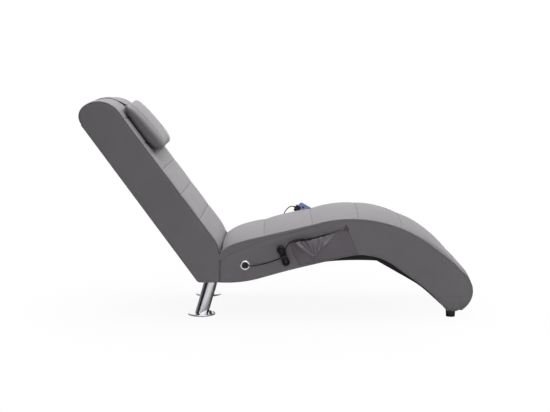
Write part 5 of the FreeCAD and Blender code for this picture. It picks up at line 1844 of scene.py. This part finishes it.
def tube(name: str, path: Sequence[Vector], radius: float, sides: int = 10,
         thin_to: float = 1.0) -> Piece:
    """Round mesh tube along points, closed at its ends.

    Args:
        name: the piece's name.
        path: the points of its middle line.
        radius: its radius at the start.
        sides: points round it.
        thin_to: its radius at the end, as a share of that at the start.

    Returns:
        The object.
    """
    rings: list[list[Vector]] = []
    heading = (path[1] - path[0]).normalized()
    side = heading.orthogonal().normalized()
    for i, point in enumerate(path):
        before, after = path[max(0, i - 1)], path[min(len(path) - 1, i + 1)]
        now = (after - before).normalized()
        side = (heading.rotation_difference(now) @ side).normalized()
        heading = now
        up = heading.cross(side)
        reach = radius * (1 + (thin_to - 1) * i / (len(path) - 1))
        turns = [2 * math.pi * k / sides for k in range(sides)]
        rings.append([point + (side * math.cos(turn) + up * math.sin(turn)) * reach for turn in turns])
    return rings_object(name, rings)


@dataclass(frozen=True)
class Studio:
    """Camera, soft light and a pale floor."""

    eye: tuple[float, float, float] = (0.0339, -4.8121, 0.9512)
    pitch: float = math.radians(6.587)
    yaw: float = math.radians(0.513)
    lens: float = 79.92
    fill: float = 0.22
    wall_edge: Spot = (-0.66, -0.46)
    wall_shades: Spot = (0.015, 0.17)
    floor_reach: float = 30.0
    floor_grey: tuple[float, float, float, float] = (0.72, 0.72, 0.72, 1.0)
    shadow_span: Spot = (0.2, 1.3)
    shadow_white: float = 0.93

    def build(self) -> None:
        """Set the stage."""
        self.camera()
        self.world()
        self.lamps()
        self.floor()

    def camera(self) -> None:
        """Camera at the photographed viewing angle."""
        data = bpy.data.cameras.new("eye")
        data.lens = self.lens
        data.sensor_width = 36.0
        data.clip_end = 100.0
        camera = add_object("eye", data)
        camera.location = self.eye
        camera.rotation_euler = (math.pi / 2 - self.pitch, 0.0, self.yaw)
        bpy.context.scene.camera = camera

    def world(self) -> None:
        """White to the eye, white with a dark wall at the head end to gloss, a dim fill to the rest."""
        world = bpy.data.worlds.new("studio")
        bpy.context.scene.world = world
        world.use_nodes = True
        tree = world.node_tree
        tree.nodes.clear()
        path = node(tree, "ShaderNodeLightPath")
        eye = larger(tree, path["Is Camera Ray"], path["Is Transmission Ray"])
        heading = node(tree, "ShaderNodeTexCoord")["Generated"]
        split = node(tree, "ShaderNodeSeparateXYZ", {"Vector": heading})
        shade = span(tree, split["Y"], (-0.15, 0.15), self.wall_shades)
        wall = span(tree, split["X"], self.wall_edge, (shade, 1.0), "SMOOTHSTEP")
        dim, bright = (node(tree, "ShaderNodeBackground", {"Strength": share, "Color": WHITE})["Background"]
                       for share in (self.fill, larger(tree, eye, wall)))
        seen = larger(tree, eye, path["Is Glossy Ray"])
        mix = node(tree, "ShaderNodeMixShader", {"Fac": seen, 1: dim, 2: bright})["Shader"]
        node(tree, "ShaderNodeOutputWorld", {"Surface": mix})

    def lamps(self) -> None:
        """Large soft lamps, mostly from above."""
        self.lamp("overhead", (0.3, 0.5, 3.4), (0.1, 0.1, 0.3), (3.6, 3.0), 130.0)
        self.lamp("front_fill", (0.6, -4.2, 2.2), (0.0, 0.0, 0.4), (3.0, 2.0), 6.0)

    @staticmethod
    def lamp(name: str, place: Sequence[float], aim: Sequence[float], size: Spot, power: float) -> None:
        """One rectangular lamp.

        Args:
            name: its name.
            place: where it hangs.
            aim: what it points at.
            size: its width and height.
            power: its power in watts.
        """
        data = bpy.data.lights.new(name, "AREA")
        data.shape = "RECTANGLE"
        data.size, data.size_y = size
        data.energy = power
        lamp = add_object(name, data)
        lamp.location = place
        lamp.rotation_euler = (Vector(aim) - Vector(place)).to_track_quat("-Z", "Y").to_euler()

    def floor(self) -> None:
        """Pale floor that keeps the shadow near the lounger and turns white around it."""
        reach = self.floor_reach
        corners = [(-reach, -reach, 0), (reach, -reach, 0), (reach, reach, 0), (-reach, reach, 0)]
        floor = mesh_object("floor", corners, [(0, 1, 2, 3)], smooth=False)
        paint = bpy.data.materials.new("floor_white")
        paint.use_nodes = True
        tree = paint.node_tree
        tree.nodes.clear()
        where = node(tree, "ShaderNodeTexCoord")["Object"]
        far = node(tree, "ShaderNodeVectorMath", {0: where}, operation="LENGTH")["Value"]
        clear = span(tree, far, self.shadow_span, (self.shadow_white, 1.0), "SMOOTHSTEP")
        eye = node(tree, "ShaderNodeLightPath")["Is Camera Ray"]
        seen = node(tree, "ShaderNodeMath", {0: eye, 1: clear}, operation="MULTIPLY")["Value"]
        matt = node(tree, "ShaderNodeBsdfDiffuse", {"Color": self.floor_grey})["BSDF"]
        white = node(tree, "ShaderNodeEmission", {"Strength": 1.0})["Emission"]
        mix = node(tree, "ShaderNodeMixShader", {"Fac": seen, 1: matt, 2: white})["Shader"]
        node(tree, "ShaderNodeOutputMaterial", {"Surface": mix})
        floor.data.materials.append(paint)


def dress_nodes() -> None:
    """Give every node that still shows its own finish."""
    finishes = {name: finish for finish, names in NODE_FINISH.items() for name in names}
    for name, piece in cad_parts.items():
        dress(piece, finishes.get(name, LEATHER))


def main() -> None:
    """Build the lounger in order and report each piece."""
    logging.basicConfig(level=logging.INFO, format="%(name)s: %(message)s")
    bpy.context.scene.view_settings.view_transform = "Standard"
    Studio().build()
    Leads().build()
    dress_nodes()
    SeatModule().build()
    cover = BackModule().build()
    HeadPillow().build(cover)
    Pocket(Side.NEAR, depth=0.0240, mouth_share=0.22, slack=(0.0, 0.20, 0.52, 0.84), folds=NEAR_FOLDS,
           vee=(0.10, 0.285, 0.80, 0.73)).build()
    Pocket(Side.FAR, depth=0.0265, mouth_share=0.97, slack=(0.0, 0.22, 0.86, 1.0), folds=FAR_FOLDS).build()


if __name__ == "__main__":
    main()
